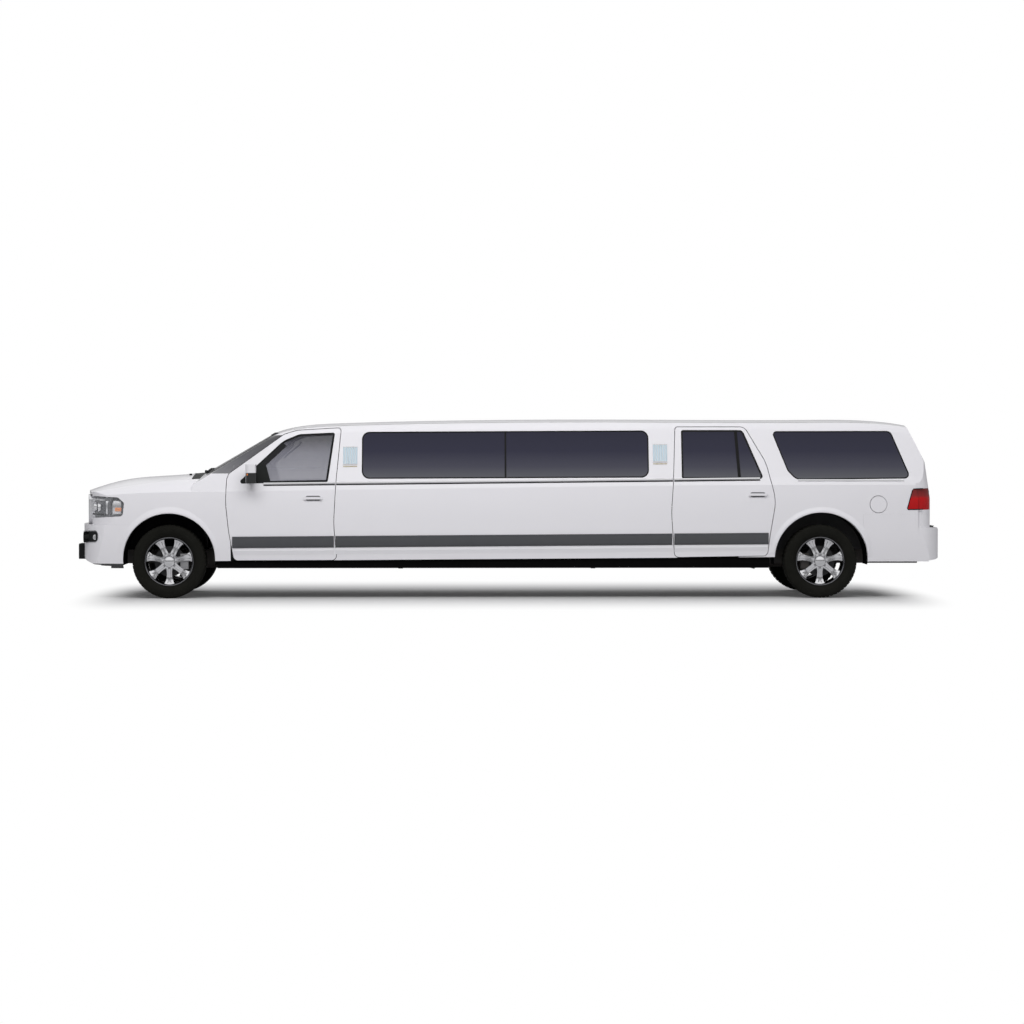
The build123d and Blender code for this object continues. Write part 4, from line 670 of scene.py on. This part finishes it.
# The handle's recess is not sunk: a thin grey ring laid on the door skin round it is painted shade.
CUP_STEPS = ((0.0, -0.002), (0.0, 0.0012), (0.022, 0.0012), (0.0265, 0.0010))
for name, side in SIDES:
    for tag, x, z in HANDLES:
        cup = [(x - 0.085, z - 0.030, 0.028), (x - 0.085, z + 0.026, 0.024), (x + 0.085, z + 0.026, 0.024),
               (x + 0.085, z - 0.030, 0.028)]
        loop = resample(rounded(cup), 0.02)
        painted_handle_shade = Heap().add(band(loop, CUP_STEPS, partial(on_side, side), closed=False), HANDLE_SHADE)
        across = sorted((side * 0.989, side * 0.9905))
        # thin strips just under and over the handle bar: painted shadow lines
        for half, low, high, finish in ((0.097, -0.0135, -0.0045, SEAL), (0.092, 0.0095, 0.0125, HANDLE_SHADE)):
            painted_handle_shade.add(brick(x - half, x + half, *across, z + low, z + high, 0.0005), finish)
        painted_handle_shade.make(f"handle_painted_shade_{tag}_{name}", f"door_{tag}_{name}", "black_plastic")


# ------------ wheel arches
def arch_lip(side, x, z, radius, low_angle, high_angle, reach):
    """Soft flare round a wheel opening, carried on the body's surface."""
    steps = 56
    section = [(0.001, -0.012), (0.000, 0.003), (0.004, 0.0115), (0.014, 0.0130), (0.030, 0.0095),
               (reach * 0.62, 0.0045), (reach, -0.0015), (reach, -0.012)]
    rows = []
    for i, angle in enumerate(spread(low_angle, high_angle, steps)):
        a = radians(angle)
        swell = 0.35 + 0.65 * min(1.0, i / 5, (steps - i) / 5)
        rows.append([on_side(side, x + (radius + r) * cos(a), z + (radius + r) * sin(a),
                             out * swell if out > 0 else out) for r, out in section])
    return loft(rows)


for name, side in SIDES:
    for end, x, radius, low, high, reach in (("front", FA, 0.5075, 6, 172, 0.085),
                                             ("rear", RA + 0.010, 0.5155, 4, 173, 0.068)):
        lip = arch_lip(side, x, 0.427, radius, low, high, reach)
        piece(f"arch_lip_{end}_{name}", *lip, PAINT, "body", "paint", 50)


# ------------ coach lamps
def flat(side, x0, x1, z0, z1, low, high):
    """Plate on the body's side, from one height over its surface to another."""
    rows = [[on_side(side, x, z, out) for z, out in ((z0, low), (z0, high), (z1, high), (z1, low))]
            for x in (x0, x1)]
    return loft(rows)


for name, side in SIDES:
    lamps = Heap()
    for x, z in ((FA + 1.990, 1.572), (RA - 1.768, 1.600)):
        lamps.add(flat(side, x - 0.078, x + 0.078, z - 0.099, z + 0.099, -0.003, 0.003), SILVER)
        for low, high in ((z - 0.099, z - 0.091), (z + 0.091, z + 0.099)):
            lamps.add(flat(side, x - 0.078, x + 0.078, low, high, 0.002, 0.008), CHROME)
        for xr in spread(x - 0.0675, x + 0.0675, 5):
            rows = [[(xr + 0.0105 * cos(a), side * (side_y(xr, height) + 0.002 + 0.009 * sin(a)), height)
                     for a in spread(0, pi, 6)] for height in (z - 0.0905, z - 0.03, z + 0.03, z + 0.0905)]
            lamps.add(loft(rows), RIB)
        for xb in spread(x - 0.070, x + 0.070, 10):
            lamps.add(flat(side, xb - 0.005, xb + 0.005, z - 0.124, z - 0.114, -0.002, 0.004), GOLD)
    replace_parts(lamps.make(f"coach_lamp_panels_{name}", "body", "lamp_clear", 40), "coach_lamps")


# ------------ front: lamps, grille, bumper
def nose_x(y, setback):
    """Front of the upper nose at a distance from the middle, following its bowed plan."""
    nose = NOSE + 0.062 + setback
    y = abs(y)
    if y <= 0.64:
        return nose + 0.068 * (y / 0.64) ** 2
    return nose + 0.068 + 0.096 * min(1.0, (y - 0.64) / 0.221) + max(0.0, y - 0.861) * 1.9


for name, side in SIDES:
    lamp = Heap()
    # dark housing, two reflector bowls with projectors, chrome brow and amber marker
    front = [[(nose_x(y, 0.045 + 0.02 * (z > 1.08)), side * y, z) for y in spread(0.585, 0.920, 8)]
             for z in (0.895, 0.97, 1.04, 1.105)]
    lamp.add(grid(front, caps=False), CHROME_DARK)
    lamp.add(grid([[(x + 0.006, y, z) for x, y, z in row] for row in front], caps=False), BLACK)
    for y, z, r in ((0.672, 1.005, 0.052), (0.800, 1.000, 0.048)):
        c = (nose_x(y, 0.052), side * y, z)
        bowl = [(0.002, 0.012), (0.0, r), (-0.022, r + 0.003), (-0.024, r + 0.008), (0.006, r + 0.008),
                (0.008, 0.012)]
        lamp.add(lathe(bowl, c, "X", 40), BOWL)
        bulb = [(0.006, 0.001), (-0.004, 0.024), (-0.014, 0.020), (-0.021, 0.011), (-0.0235, 0.001)]
        lamp.add(lathe(bulb, c, "X", 28), BULB)
    for z, fall, radius, finish in ((1.088, 0.03, 0.007, BOWL), (0.925, 0.02, 0.010, BLACK)):
        brow = [(nose_x(y, 0.030), side * y, z - fall * max(0, (y - 0.7))) for y in spread(0.590, 0.890, 8)]
        lamp.add(tube(brow, radius), finish)
    y = side * 0.905
    lamp.add(brick(FA - 0.60, FA - 0.525, y - 0.012, y + 0.012, 0.955, 1.000, 0.010), AMBER)
    y = side * 0.885
    lamp.add(brick(FA - 0.70, FA - 0.53, y - 0.012, y + 0.006, 0.925, 1.075, 0.012), BOWL)
    lamp.make(f"headlamp_inside_{name}", "body", "lamp_clear", 40)

grille = Heap()
backing = [[(nose_x(y, 0.052), y, z) for y in spread(-0.49, 0.49, 12)] for z in (0.835, 0.93, 1.03, 1.115)]
grille.add(slab(backing, 0.006), BLACK)
for y in spread(-0.44, 0.44, 11):
    grille.add(tube([(nose_x(y, 0.018), y, 0.845), (nose_x(y, 0.018), y, 1.107)], 0.0035, 8), CHROME)
for z in (0.881, 0.943, 1.006, 1.069):
    grille.add(tube([(nose_x(y, 0.020), y, z) for y in spread(-0.45, 0.45, 12)], 0.0035, 8), CHROME)
grille.make("grille_mesh", "body", "chrome")

FOG = (FA - 0.945, 0.735, 0.670)            # middle of a fog lamp
FOG_SEAT = FA - 0.952                      # where its housing closes the opening
# recess round the lamp, drawn on a plane across the bumper's corner: along the plane, height, radius
RECESS = [(-0.205, 0.606, 0.030), (-0.205, 0.734, 0.030), (0.122, 0.746, 0.045), (0.122, 0.622, 0.045)]
RECESS_LAMP = Vector((-0.120, 0.670))
SLANT = 0.7071                             # the plane stands at 45 degrees
bumper = Heap()
for name, side in SIDES:
    c = (FOG[0], side * FOG[1], FOG[2])
    housing = [(0.0, 0.001), (0.0, 0.044), (-0.016, 0.048), (-0.016, 0.0585), (0.010, 0.0585),
               (0.010, 0.001)]
    bumper.add(lathe(housing, c, "X", 36), BLACK)
    glass = [(-0.001, 0.001), (-0.001, 0.042), (-0.010, 0.040), (-0.016, 0.022), (-0.018, 0.001)]
    bumper.add(lathe(glass, c, "X", 30), BOWL)
    face = Vector((-SLANT, side * SLANT, 0))
    along = Vector((SLANT, side * SLANT, 0))
    corner = Vector((FA - 0.88, side * 0.84, 0))
    # bright edge, then the black recess; inward is the share of the way out from the lamp
    for finish, shrink, out, inward in ((CHROME, -0.006, 0.0014, (1.0, 0.9)),
                                        (BLACK, 0.003, 0.0030, (1.0, 0.8, 0.6, 0.4, 0.2, 0.0))):
        rows = []
        for share in inward:
            row = []
            for p in inset(resample(rounded(RECESS), 0.015), shrink):
                a = atan2(p.y - RECESS_LAMP.y, p.x - RECESS_LAMP.x)
                q = RECESS_LAMP + Vector((0.056 * cos(a), 0.062 * sin(a)))
                q += (p - q) * share
                start = corner + face + along * q.x + Vector((0, 0, q.y))
                at = touch("front_bumper", start, -face)
                if at is None or at.x > FOG_SEAT and q.x < -0.06:
                    at = start - face * ((FOG_SEAT - start.x) / SLANT)
                row.append(tuple(at + face * out))
            rows.append(row)
        bumper.add(grid(rows, closed_cols=True, caps=False), finish)
    at = touch("front_bumper", (FA - 0.812, side * 3.0, 0.672), (0, -side, 0))
    button = [(0.004, 0.001), (0.004, 0.026), (0.0, 0.030), (-0.004, 0.030), (-0.004, 0.001)]
    bumper.add(lathe(mirror_profile(button, side), at, steps=28), BOWL)
slats = [(FA - 0.985 + 0.05 * (y / 0.5) ** 2, y) for y in spread(-0.5, 0.5, 12)]
for z in (0.470, 0.500, 0.530, 0.560, 0.588):
    limit = 0.475 + (z - 0.455) * 0.28
    bumper.add(tube([(x, max(-limit, min(limit, y)), z) for x, y in slats], 0.006, 8), BLACK)
bumper.add(slab([[(x + 0.03, y * 1.02, z) for x, y in slats] for z in (0.452, 0.602)], 0.005), BLACK)
bumper.make("bumper_grille", "body", "black_plastic")

PLATE_SCREWS = (-0.089, 0.089)
plate = Heap()
plate_x = NOSE - 0.065
plate.add(brick(plate_x - 0.004, plate_x + 0.001, -0.150, 0.150, 0.418, 0.570, 0.002), PLATE)
for y in PLATE_SCREWS:
    screw = [(-0.007, 0.001), (-0.007, 0.005), (-0.004, 0.007), (0.0, 0.007), (0.0, 0.001)]
    plate.add(lathe(screw, (plate_x, y, 0.554), "X", 12), STEEL)
plate.make("blank_front_plate", "body", "lamp_clear")
dam_rows = []
for y in spread(-0.88, 0.88, 24):
    x = FA - 0.80 + 0.22 * max(0.0, (abs(y) - 0.60) / 0.28) ** 1.6
    dam_rows.append([(x + dx, y, z) for dx, z in
                     ((0, 0.365), (0.012, 0.352), (0.05, 0.356), (0.05, 0.412), (-0.010, 0.412))])
piece("air_dam", *loft(dam_rows), BLACK, "body", "black_plastic")


# ------------ windscreen edge, wipers, washer jets
def screen_x(y, z, out=0.0):
    """The windscreen's face, bowed in plan and raked."""
    return FA + 0.428 + y * y / 7.2 + (z - 1.423) / 0.585 - out


edge = [(-0.835, 1.385, 0.06), (-0.705, 1.822, 0.06), (0.705, 1.822, 0.06), (0.835, 1.385, 0.06)]
steps = ((-0.006, 0.001), (-0.006, 0.006), (0.018, 0.006), (0.024, -0.001), (0.020, -0.004))
seal = band(resample(rounded(edge), 0.08), steps, lambda y, z, out: (screen_x(y, z, out), y, z))
piece("windscreen_seal", *seal, SEAL, "body", "black_plastic", 60)
wipers = Heap()
for y0, y1 in ((-0.66, 0.02), (0.0, 0.62)):
    foot = (screen_x(y0, 1.385, 0.030), y0, 1.385)
    hub = [(-0.015, 0.001), (-0.015, 0.016), (0.018, 0.013), (0.022, 0.001)]
    wipers.add(lathe(hub, foot, "Z", 16), BLACK)
    arm = [foot]
    for t in (0.15, 0.35, 0.6, 0.8):
        y, z = y0 + (y1 - y0) * t, 1.40 + 0.035 * t
        arm.append((screen_x(y, z, 0.030), y, z))
    wipers.add(tube(arm, [0.010, 0.009, 0.008, 0.006, 0.005]), BLACK)
    blade = [(screen_x(y, 1.425, 0.014), y, 1.425) for y in spread(y0 + 0.12, y1 + 0.12, 8)]
    wipers.add(tube(blade, 0.006, 8), BLACK)
for y in (-0.36, 0.36):
    wipers.add(brick(FA + 0.175, FA + 0.205, y - 0.016, y + 0.016, 1.352, 1.369, 0.005), BLACK)
wipers.make("wipers", "body", "black_plastic")

# ------------ mirrors
SAIL = metres([(752, 1266, 20), (990, 1494, 30), (1060, 1480, 60), (1120, 1268, 20)], FA)
for name, side in SIDES:
    lo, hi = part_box(f"mirror_{name}")
    face = Heap()
    across = sorted((side * 1.030, side * 1.170))
    face.add(brick(hi[0] - 0.010, hi[0] - 0.005, *across, lo[2] + 0.022, hi[2] - 0.022, 0.0015), SILVER)
    face.add(brick(lo[0] + 0.020, lo[0] + 0.034, side * 1.172 - 0.012, side * 1.172 + 0.012, lo[2] + 0.085,
                   lo[2] + 0.105, 0.004), AMBER)
    face.make(f"mirror_face_{name}", f"door_front_{name}", "mirror_shell")
    # corner panel between the glass and the mirror's arm
    outline = resample(rounded(SAIL), 0.05)
    cover = [[on_side(side, p.x, p.y, out) for p in outline] for out in (-0.0072, -0.0003)]
    piece(f"mirror_sail_{name}", *loft(cover), BLACK, f"door_front_{name}", "black_plastic")


# ------------ tail: lamps' rims, gate trim, step, exhaust tip
def tail_x(y, z, out=0.0):
    """Rear face of the body at y, z."""
    y = abs(y)
    x = TAIL + 0.060 * (1 - (y / 0.828) ** 2) if y < 0.828 else TAIL - 0.5 * (y - 0.828)
    if z > 1.100:
        x -= 0.15 * (min(z, 1.5) - 1.100)
    if z > 1.5:
        x -= 0.50 * (z - 1.5)
    return x + out


gate = Heap()
# sections of the bars across the gate: outward from it, height
bright = [(-0.004, 1.140), (0.010, 1.144), (0.015, 1.165), (0.010, 1.188), (-0.004, 1.192)]
recess = [(-0.003, 0.945), (0.006, 0.950), (0.007, 1.110), (0.012, 1.125), (-0.003, 1.130)]
bright_rows = [[(tail_x(y, 1.165, out), y, z) for out, z in bright] for y in spread(-0.60, 0.60, 16)]
gate.add(loft(bright_rows), CHROME)
recess_rows = [[(tail_x(y, z, out), y, z) for out, z in recess] for y in spread(-0.27, 0.27, 8)]
gate.add(loft(recess_rows), BLACK)
gate.add(brick(tail_x(0, 1.03, 0.006), tail_x(0, 1.03, 0.011), -0.152, 0.152, 0.955, 1.107, 0.002), PLATE)
for y in PLATE_SCREWS:
    screw = [(0.0, 0.001), (0.0, 0.007), (0.013, 0.007), (0.015, 0.001)]
    gate.add(lathe(screw, (tail_x(0, 1.03), y, 1.089), "X", 12), STEEL)
gate.add(brick(tail_x(0, 1.30, -0.01), tail_x(0, 1.30, 0.024), -0.032, 0.032, 1.262, 1.312, 0.010), BLACK)
gate.add(tube([(tail_x(0, 1.30, 0.028), 0, 1.300), (tail_x(0.1, 1.33, 0.026), 0.10, 1.335),
               (tail_x(0.3, 1.36, 0.022), 0.32, 1.365)], [0.009, 0.007, 0.005]), BLACK)
gate.add(tube([(tail_x(y, 1.362, 0.010), y, 1.362) for y in spread(0.06, 0.48, 8)], 0.006, 8), BLACK)
gate.make("liftgate_fittings", "liftgate", "black_plastic")
stop = brick(tail_x(0, 1.862, -0.012), tail_x(0, 1.862, 0.008), -0.16, 0.16, 1.846, 1.868, 0.006)
piece("high_stop_lamp", *stop, RED, "liftgate", "lamp_red")
window = [(-0.640, 1.330, 0.06), (-0.560, 1.800, 0.06), (0.560, 1.800, 0.06), (0.640, 1.330, 0.06)]
steps = ((0.001, -0.0078), (0.001, -0.001), (0.007, -0.001), (0.009, -0.0062), (0.030, -0.0062),
         (0.030, -0.0078))
rim = band(resample(rounded(window), 0.08), steps, lambda y, z, out: (tail_x(y, z, out), y, z))
piece("liftgate_window_border", *rim, GLOSS, "liftgate", "black_plastic", 60)

BEAD = [(1.132, 1.207), (1.024, 1.203), (1.014, 1.190), (0.957, 0.988), (0.964, 0.976), (1.132, 0.978)]
for name, side in SIDES:
    bead = tube([on_side(side, RA + x, z, 0.0005) for x, z in BEAD], 0.0055, 8)
    piece(f"tail_lamp_rim_{name}", *bead, GLOSS, "body", "lamp_red", 60)

pad = []
for y in spread(-0.70, 0.70, 20):
    x0, x1 = tail_x(y, 0.80, 0.010), RA + 1.285 + 0.060 * (1 - (y / 0.75) ** 2)
    pad.append([(x0, y, 0.772), (x0, y, 0.786), (x1 - 0.008, y, 0.786), (x1, y, 0.778), (x1, y, 0.772)])
step = Heap().add(loft(pad), BLACK)
for y in spread(-0.60, 0.60, 11):
    step.add(brick(RA + 1.262, RA + 1.312, y - 0.028, y + 0.028, 0.782, 0.789, 0.002), BLACK)
step.make("rear_step_pad", "body", "black_plastic")
pipe = tube([(RA - 0.82, 0.290, 0.330), (RA - 0.70, 0.30, 0.325), (RA - 0.60, 0.36, 0.300)], 0.030, 16)
piece("exhaust_tip", *pipe, STEEL, "body", "frame_metal")


# ------------ seats and cabin
def cushion(x0, x1, y0, y1, z0, z1, channels=0, along="x", crown=0.02):
    """Crowned pad with pulled-in sides; sewn channels run across one way."""
    groove = 0.008
    bm = bmesh.new()
    bmesh.ops.create_cube(bm, size=2)
    bmesh.ops.subdivide_edges(bm, edges=bm.edges[:], cuts=12, use_grid_fill=True)
    middle = Vector((x0 + x1, y0 + y1, z0 + z1)) / 2
    half = Vector((x1 - x0, y1 - y0, z1 - z0)) / 2
    small = min(half)
    soft = small * 0.55
    for v in bm.verts:
        u = Vector(v.co)
        p = Vector([t * h for t, h in zip(u, half)])
        core = Vector([max(-h + soft, min(h - soft, c)) for c, h in zip(p, half)])
        d = p - core
        if d.length > 0:
            p = core + d.normalized() * soft
        a, b, c = [1 - t * t for t in u]
        swell = a * b + a * c + b * c
        p += p.normalized() * crown * (swell - 0.5) * 0.5
        if channels:
            t = (u.x if along == "x" else u.y) * channels / 2
            near = abs(t - round(t)) / (channels / 2) * (half.x if along == "x" else half.y)
            if abs(t) < channels / 2 - 0.2:
                p *= 1 - groove / small * exp(-(near / 0.010) ** 2)
        v.co = middle + p
    return unpack(bm)


def tilted(shell, angle, pivot):
    """Shell leaned back about a cross axis through pivot."""
    turn = Matrix.Translation(pivot) @ Matrix.Rotation(angle, 4, "Y") @ Matrix.Translation(-Vector(pivot))
    verts, faces = shell
    return [turn @ Vector(v) for v in verts], faces


def soft_piece(heap, name, node):
    """Padded seat that stands for the plain cushions of a CAD node."""
    obj = heap.make(name, "body", "seat_leather", 60)
    smooth = obj.modifiers.new("soft", "SUBSURF")
    smooth.levels = smooth.render_levels = 1
    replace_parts(obj, node)


FLOOR = 0.546                              # top of the cabin floor
front_seats = Heap()
for y in (-0.43, 0.43):
    hip = (FA + 1.70, y, 0.86)
    lean = radians(9)
    front_seats.add(cushion(FA + 1.22, FA + 1.70, y - 0.25, y + 0.25, 0.79, 0.925, 4, "x", 0.03), LEATHER)
    back = cushion(FA + 1.655, FA + 1.785, y - 0.245, y + 0.245, 0.86, 1.43, crown=0.03)
    front_seats.add(tilted(back, lean, hip), LEATHER)
    for w in (y - 0.225, y + 0.225):
        bolster = cushion(FA + 1.63, FA + 1.77, w - 0.035, w + 0.035, 0.90, 1.34)
        front_seats.add(tilted(bolster, lean, hip), LEATHER)
        front_seats.add(cushion(FA + 1.23, FA + 1.66, w - 0.035, w + 0.035, 0.80, 0.935), LEATHER)
    front_seats.add(cushion(FA + 1.80, FA + 1.89, y - 0.125, y + 0.125, 1.46, 1.635, crown=0.015), LEATHER)
    for w in (y - 0.06, y + 0.06):
        front_seats.add(tube([(FA + 1.80, w, 1.40), (FA + 1.845, w, 1.50)], 0.007), STEEL)
    front_seats.add(brick(FA + 1.27, FA + 1.69, y - 0.19, y + 0.19, FLOOR, 0.80, 0.02), DASH)
soft_piece(front_seats, "front_seat_pads", "front_seats")

lounge = Heap()
lo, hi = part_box("lounge_seats")
for a, b in shares(lo[0], hi[0], 5, 0.004):
    lounge.add(cushion(a, b, lo[1] + 0.01, hi[1] - 0.16, 0.83, 0.965, 3), LEATHER)
    lounge.add(cushion(a, b, hi[1] - 0.155, hi[1] - 0.02, 0.90, 1.25, 3), LEATHER)
lounge.add(brick(lo[0] + 0.02, hi[0] - 0.02, lo[1] + 0.03, hi[1] - 0.03, FLOOR, 0.84, 0.01), WOOD)
soft_piece(lounge, "lounge_pads", "lounge_seats")

bench = Heap()
lo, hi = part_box("rear_bench")
for a, b in shares(lo[1], hi[1], 3, 0.004):
    bench.add(cushion(lo[0] + 0.01, hi[0] - 0.11, a, b, 0.83, 0.965, 3, "y"), LEATHER)
    bench.add(cushion(hi[0] - 0.125, hi[0] - 0.005, a, b, 0.95, 1.415, 3, "y"), LEATHER)
bench.add(brick(lo[0] + 0.03, hi[0] - 0.03, lo[1] + 0.03, hi[1] - 0.03, FLOOR, 0.84, 0.01), DASH)
soft_piece(bench, "rear_bench_pads", "rear_bench")

# top of the roof: place along the car, height; the lining hangs a little under it
ROOF_LINE = [(FA + 1.409, 1.901), (FA + 1.843, 1.934), (FA + 2.976, 1.963), (RA - 2.390, 1.977),
             (RA - 0.125, 1.973), (RA + 0.781, 1.950)]
UNDER_ROOF = 0.062
lining = []
for x, z in ROOF_LINE:
    row = [(x, y, z - UNDER_ROOF - 0.020 * abs(y / 0.66) ** 3) for y in spread(-0.66, 0.66, 12)]
    lining.append(row + [(x, y, z - 0.008) for x, y, z in reversed(row)])
piece("headliner", *loft(lining), CLOTH, "body", "seat_leather", 60)

dash = Heap()
for y0, y1 in ((-0.58, -0.28), (-0.13, 0.13)):
    panel = brick(FA + 0.905, FA + 0.935, y0, y1, 1.125, 1.235, 0.012)
    dash.add(tilted(panel, radians(18), (FA + 0.92, 0, 1.18)), GLOSS)
for y in (-0.70, -0.20, 0.20, 0.66):
    for z in spread(1.190, 1.226, 3):
        dash.add(brick(FA + 0.925, FA + 0.945, y - 0.055, y + 0.055, z, z + 0.005, 0.001), BLACK)
dash.add(brick(FA + 0.93, FA + 0.95, 0.28, 0.62, 0.985, 1.085, 0.012), DASH)
dash.add(tube([(FA + 1.02, 0.0, 0.865), (FA + 1.03, 0.0, 0.93)], 0.012), CHROME)
dash.add(brick(FA + 1.00, FA + 1.06, -0.030, 0.030, 0.925, 0.955, 0.012), LEATHER)
dash.make("dashboard_fittings", "body", "dash_plastic")

bar = Heap()
lo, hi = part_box("bar_cabinet")
for a, b in shares(lo[0], hi[0], 5, 0.015):
    bar.add(brick(a, b, hi[1] - 0.002, hi[1] + 0.010, 0.60, 1.06, 0.006), WOOD)
    bar.add(tube([(a + 0.10, hi[1] + 0.022, 0.98), (b - 0.10, hi[1] + 0.022, 0.98)], 0.006), CHROME)
bar.add(brick(lo[0], hi[0], lo[1] + 0.02, hi[1] + 0.012, 1.119, 1.132, 0.005), GLOSS)
bar.make("bar_doors", "body", "cabinet_wood")
lo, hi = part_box("partition")
pane = brick(lo[0] + 0.016, lo[0] + 0.024, -0.425, 0.425, 1.225, 1.665, 0.002)
piece("partition_glass", *pane, GLASS_SCREEN, "body", "clear_glass")

grab = Heap()
for name, side in SIDES:
    y = side * (side_y(-2.45, 1.62) - 0.085)
    grab.add(tube([(-2.56, y + side * 0.02, 1.54), (-2.54, y, 1.57), (-2.40, y - side * 0.01, 1.68),
                   (-2.37, y + side * 0.02, 1.72)], 0.012), DASH)
grab.make("grab_handles", "body", "dash_plastic")

# ------------ roof ditches, underbody springs
for name, side in SIDES:
    ditch = []
    for x in spread(FA + 1.36, RA + 0.58, 59):
        z = touch("roof", (x, side * 0.6835, 3.0), (0, 0, -1)).z
        ditch.append([(x, side * y, z + up) for y, up in
                      ((0.681, -0.004), (0.681, 0.0012), (0.689, 0.0004), (0.689, -0.005))])
    piece(f"roof_ditch_{name}", *loft(ditch), SEAL, "body", "black_plastic")
SPRING_FOOT, SPRING_TOP, TURNS = 0.300, 0.525, 6
for end, x in ENDS:
    springs = Heap()
    for name, side in SIDES:
        y = side * 0.585
        angles = spread(0, 2 * pi * TURNS, 96)
        coil = [(x + 0.048 * cos(a), y + 0.048 * sin(a), z)
                for a, z in zip(angles, spread(SPRING_FOOT, SPRING_TOP, 96))]
        springs.add(tube(coil, 0.007, 6), IRON)
        springs.add(tube([(x, y, SPRING_FOOT - 0.01), (x, y, SPRING_TOP + 0.005)], 0.021, 14), STEEL)
    springs.make(f"coil_springs_{end}", "body", "frame_metal")

# ------------ studio
floor_mesh = bpy.data.meshes.new("studio_floor")
floor_mesh.from_pydata([(-150, -60, 0), (150, -60, 0), (150, 240, 0), (-150, 240, 0)], [], [(0, 1, 2, 3)])
studio_floor = bpy.data.objects.new("studio_floor", floor_mesh)
scene.collection.objects.link(studio_floor)
floor_mat = bpy.data.materials.new("studio_floor")
floor_mat.use_nodes = True
tree = floor_mat.node_tree
base = tree.nodes["Principled BSDF"]
feed(tree, base, {"Base Color": (0.60, 0.60, 0.60, 1), "Roughness": 0.9})


def sums(operation, *values):
    """Arithmetic node on values, each a socket or a number."""
    return add_node(tree, "Math", dict(enumerate(values)), operation=operation).outputs[0]


# the floor takes its shadow under and beside the car, and turns white away from it
FLAT_X, FLAT_Y, FADE, SHADOW_SHARE = 4.1, 0.80, 0.75, 0.04
spot = add_node(tree, "SeparateXYZ", {0: add_node(tree, "NewGeometry").outputs["Position"]})
past_x, past_y = [sums("MAXIMUM", sums("SUBTRACT", sums("ABSOLUTE", spot.outputs[axis]), reach), 0)
                  for axis, reach in (("X", FLAT_X), ("Y", FLAT_Y))]
away = sums("SQRT", sums("ADD", sums("POWER", past_x, 2), sums("POWER", sums("MULTIPLY", past_y, 0.25), 2)))
fade = add_node(tree, "MapRange", {"Value": away, "From Min": 0.0, "From Max": FADE, "To Min": SHADOW_SHARE,
                                   "To Max": 1.0}, interpolation_type="SMOOTHSTEP")
path = add_node(tree, "LightPath")
glow = add_node(tree, "Emission", {"Strength": 1.0})
seen = sums("MULTIPLY", path.outputs["Is Camera Ray"], fade.outputs["Result"])
mixer = add_node(tree, "MixShader", {0: seen, 1: base.outputs[0], 2: glow.outputs[0]})
tree.links.new(mixer.outputs[0], tree.nodes["Material Output"].inputs[0])
floor_mesh.materials.append(floor_mat)

world = bpy.data.worlds.new("studio")
scene.world = world
world.use_nodes = True
tree = world.node_tree
plain = tree.nodes["Background"]
feed(tree, plain, {"Color": (0.97, 0.97, 1.0, 1), "Strength": 0.46})
white = add_node(tree, "Background", {"Color": (1, 1, 1, 1)})
path = add_node(tree, "LightPath")
views = sums("MAXIMUM", path.outputs["Is Camera Ray"], path.outputs["Is Transmission Ray"])
# what mirrors see: dark below the horizon, bright overhead
split = add_node(tree, "SeparateXYZ", {0: add_node(tree, "TexCoord").outputs["Generated"]})
tones = add_node(tree, "ValToRGB", {"Fac": split.outputs["Z"]})
GREYS = ((0.0, 0.22), (0.10, 0.30), (0.34, 0.95), (1.0, 1.0))
fill_ramp(tones.color_ramp, [(z, (grey, grey, grey)) for z, grey in GREYS])
room = add_node(tree, "Background", {"Color": tones.outputs["Color"]})
shown = plain
for layer, chosen in ((room, path.outputs["Is Glossy Ray"]), (white, views)):
    shown = add_node(tree, "MixShader", {0: chosen, 1: shown.outputs[0], 2: layer.outputs[0]})
tree.links.new(shown.outputs[0], tree.nodes["World Output"].inputs[0])


def area_light(name, place, aim, size, power):
    data = bpy.data.lights.new(name, "AREA")
    data.shape = "RECTANGLE"
    data.size, data.size_y = size
    data.energy = power
    obj = bpy.data.objects.new(name, data)
    obj.location = place
    obj.rotation_euler = (Vector(aim) - Vector(place)).to_track_quat("-Z", "Y").to_euler()
    obj.visible_glossy = False
    scene.collection.objects.link(obj)


area_light("top_softbox", (0, -1.0, 8.0), (0, 0, 0), (14, 6), 50)
area_light("side_softbox", (-1.0, -9.0, 9.5), (0, 0, 1.0), (15, 4), 930)
area_light("far_softbox", (1.0, 12.0, 6.0), (0, 0, 1.0), (14, 5), 200)

scene.view_settings.view_transform = "Standard"
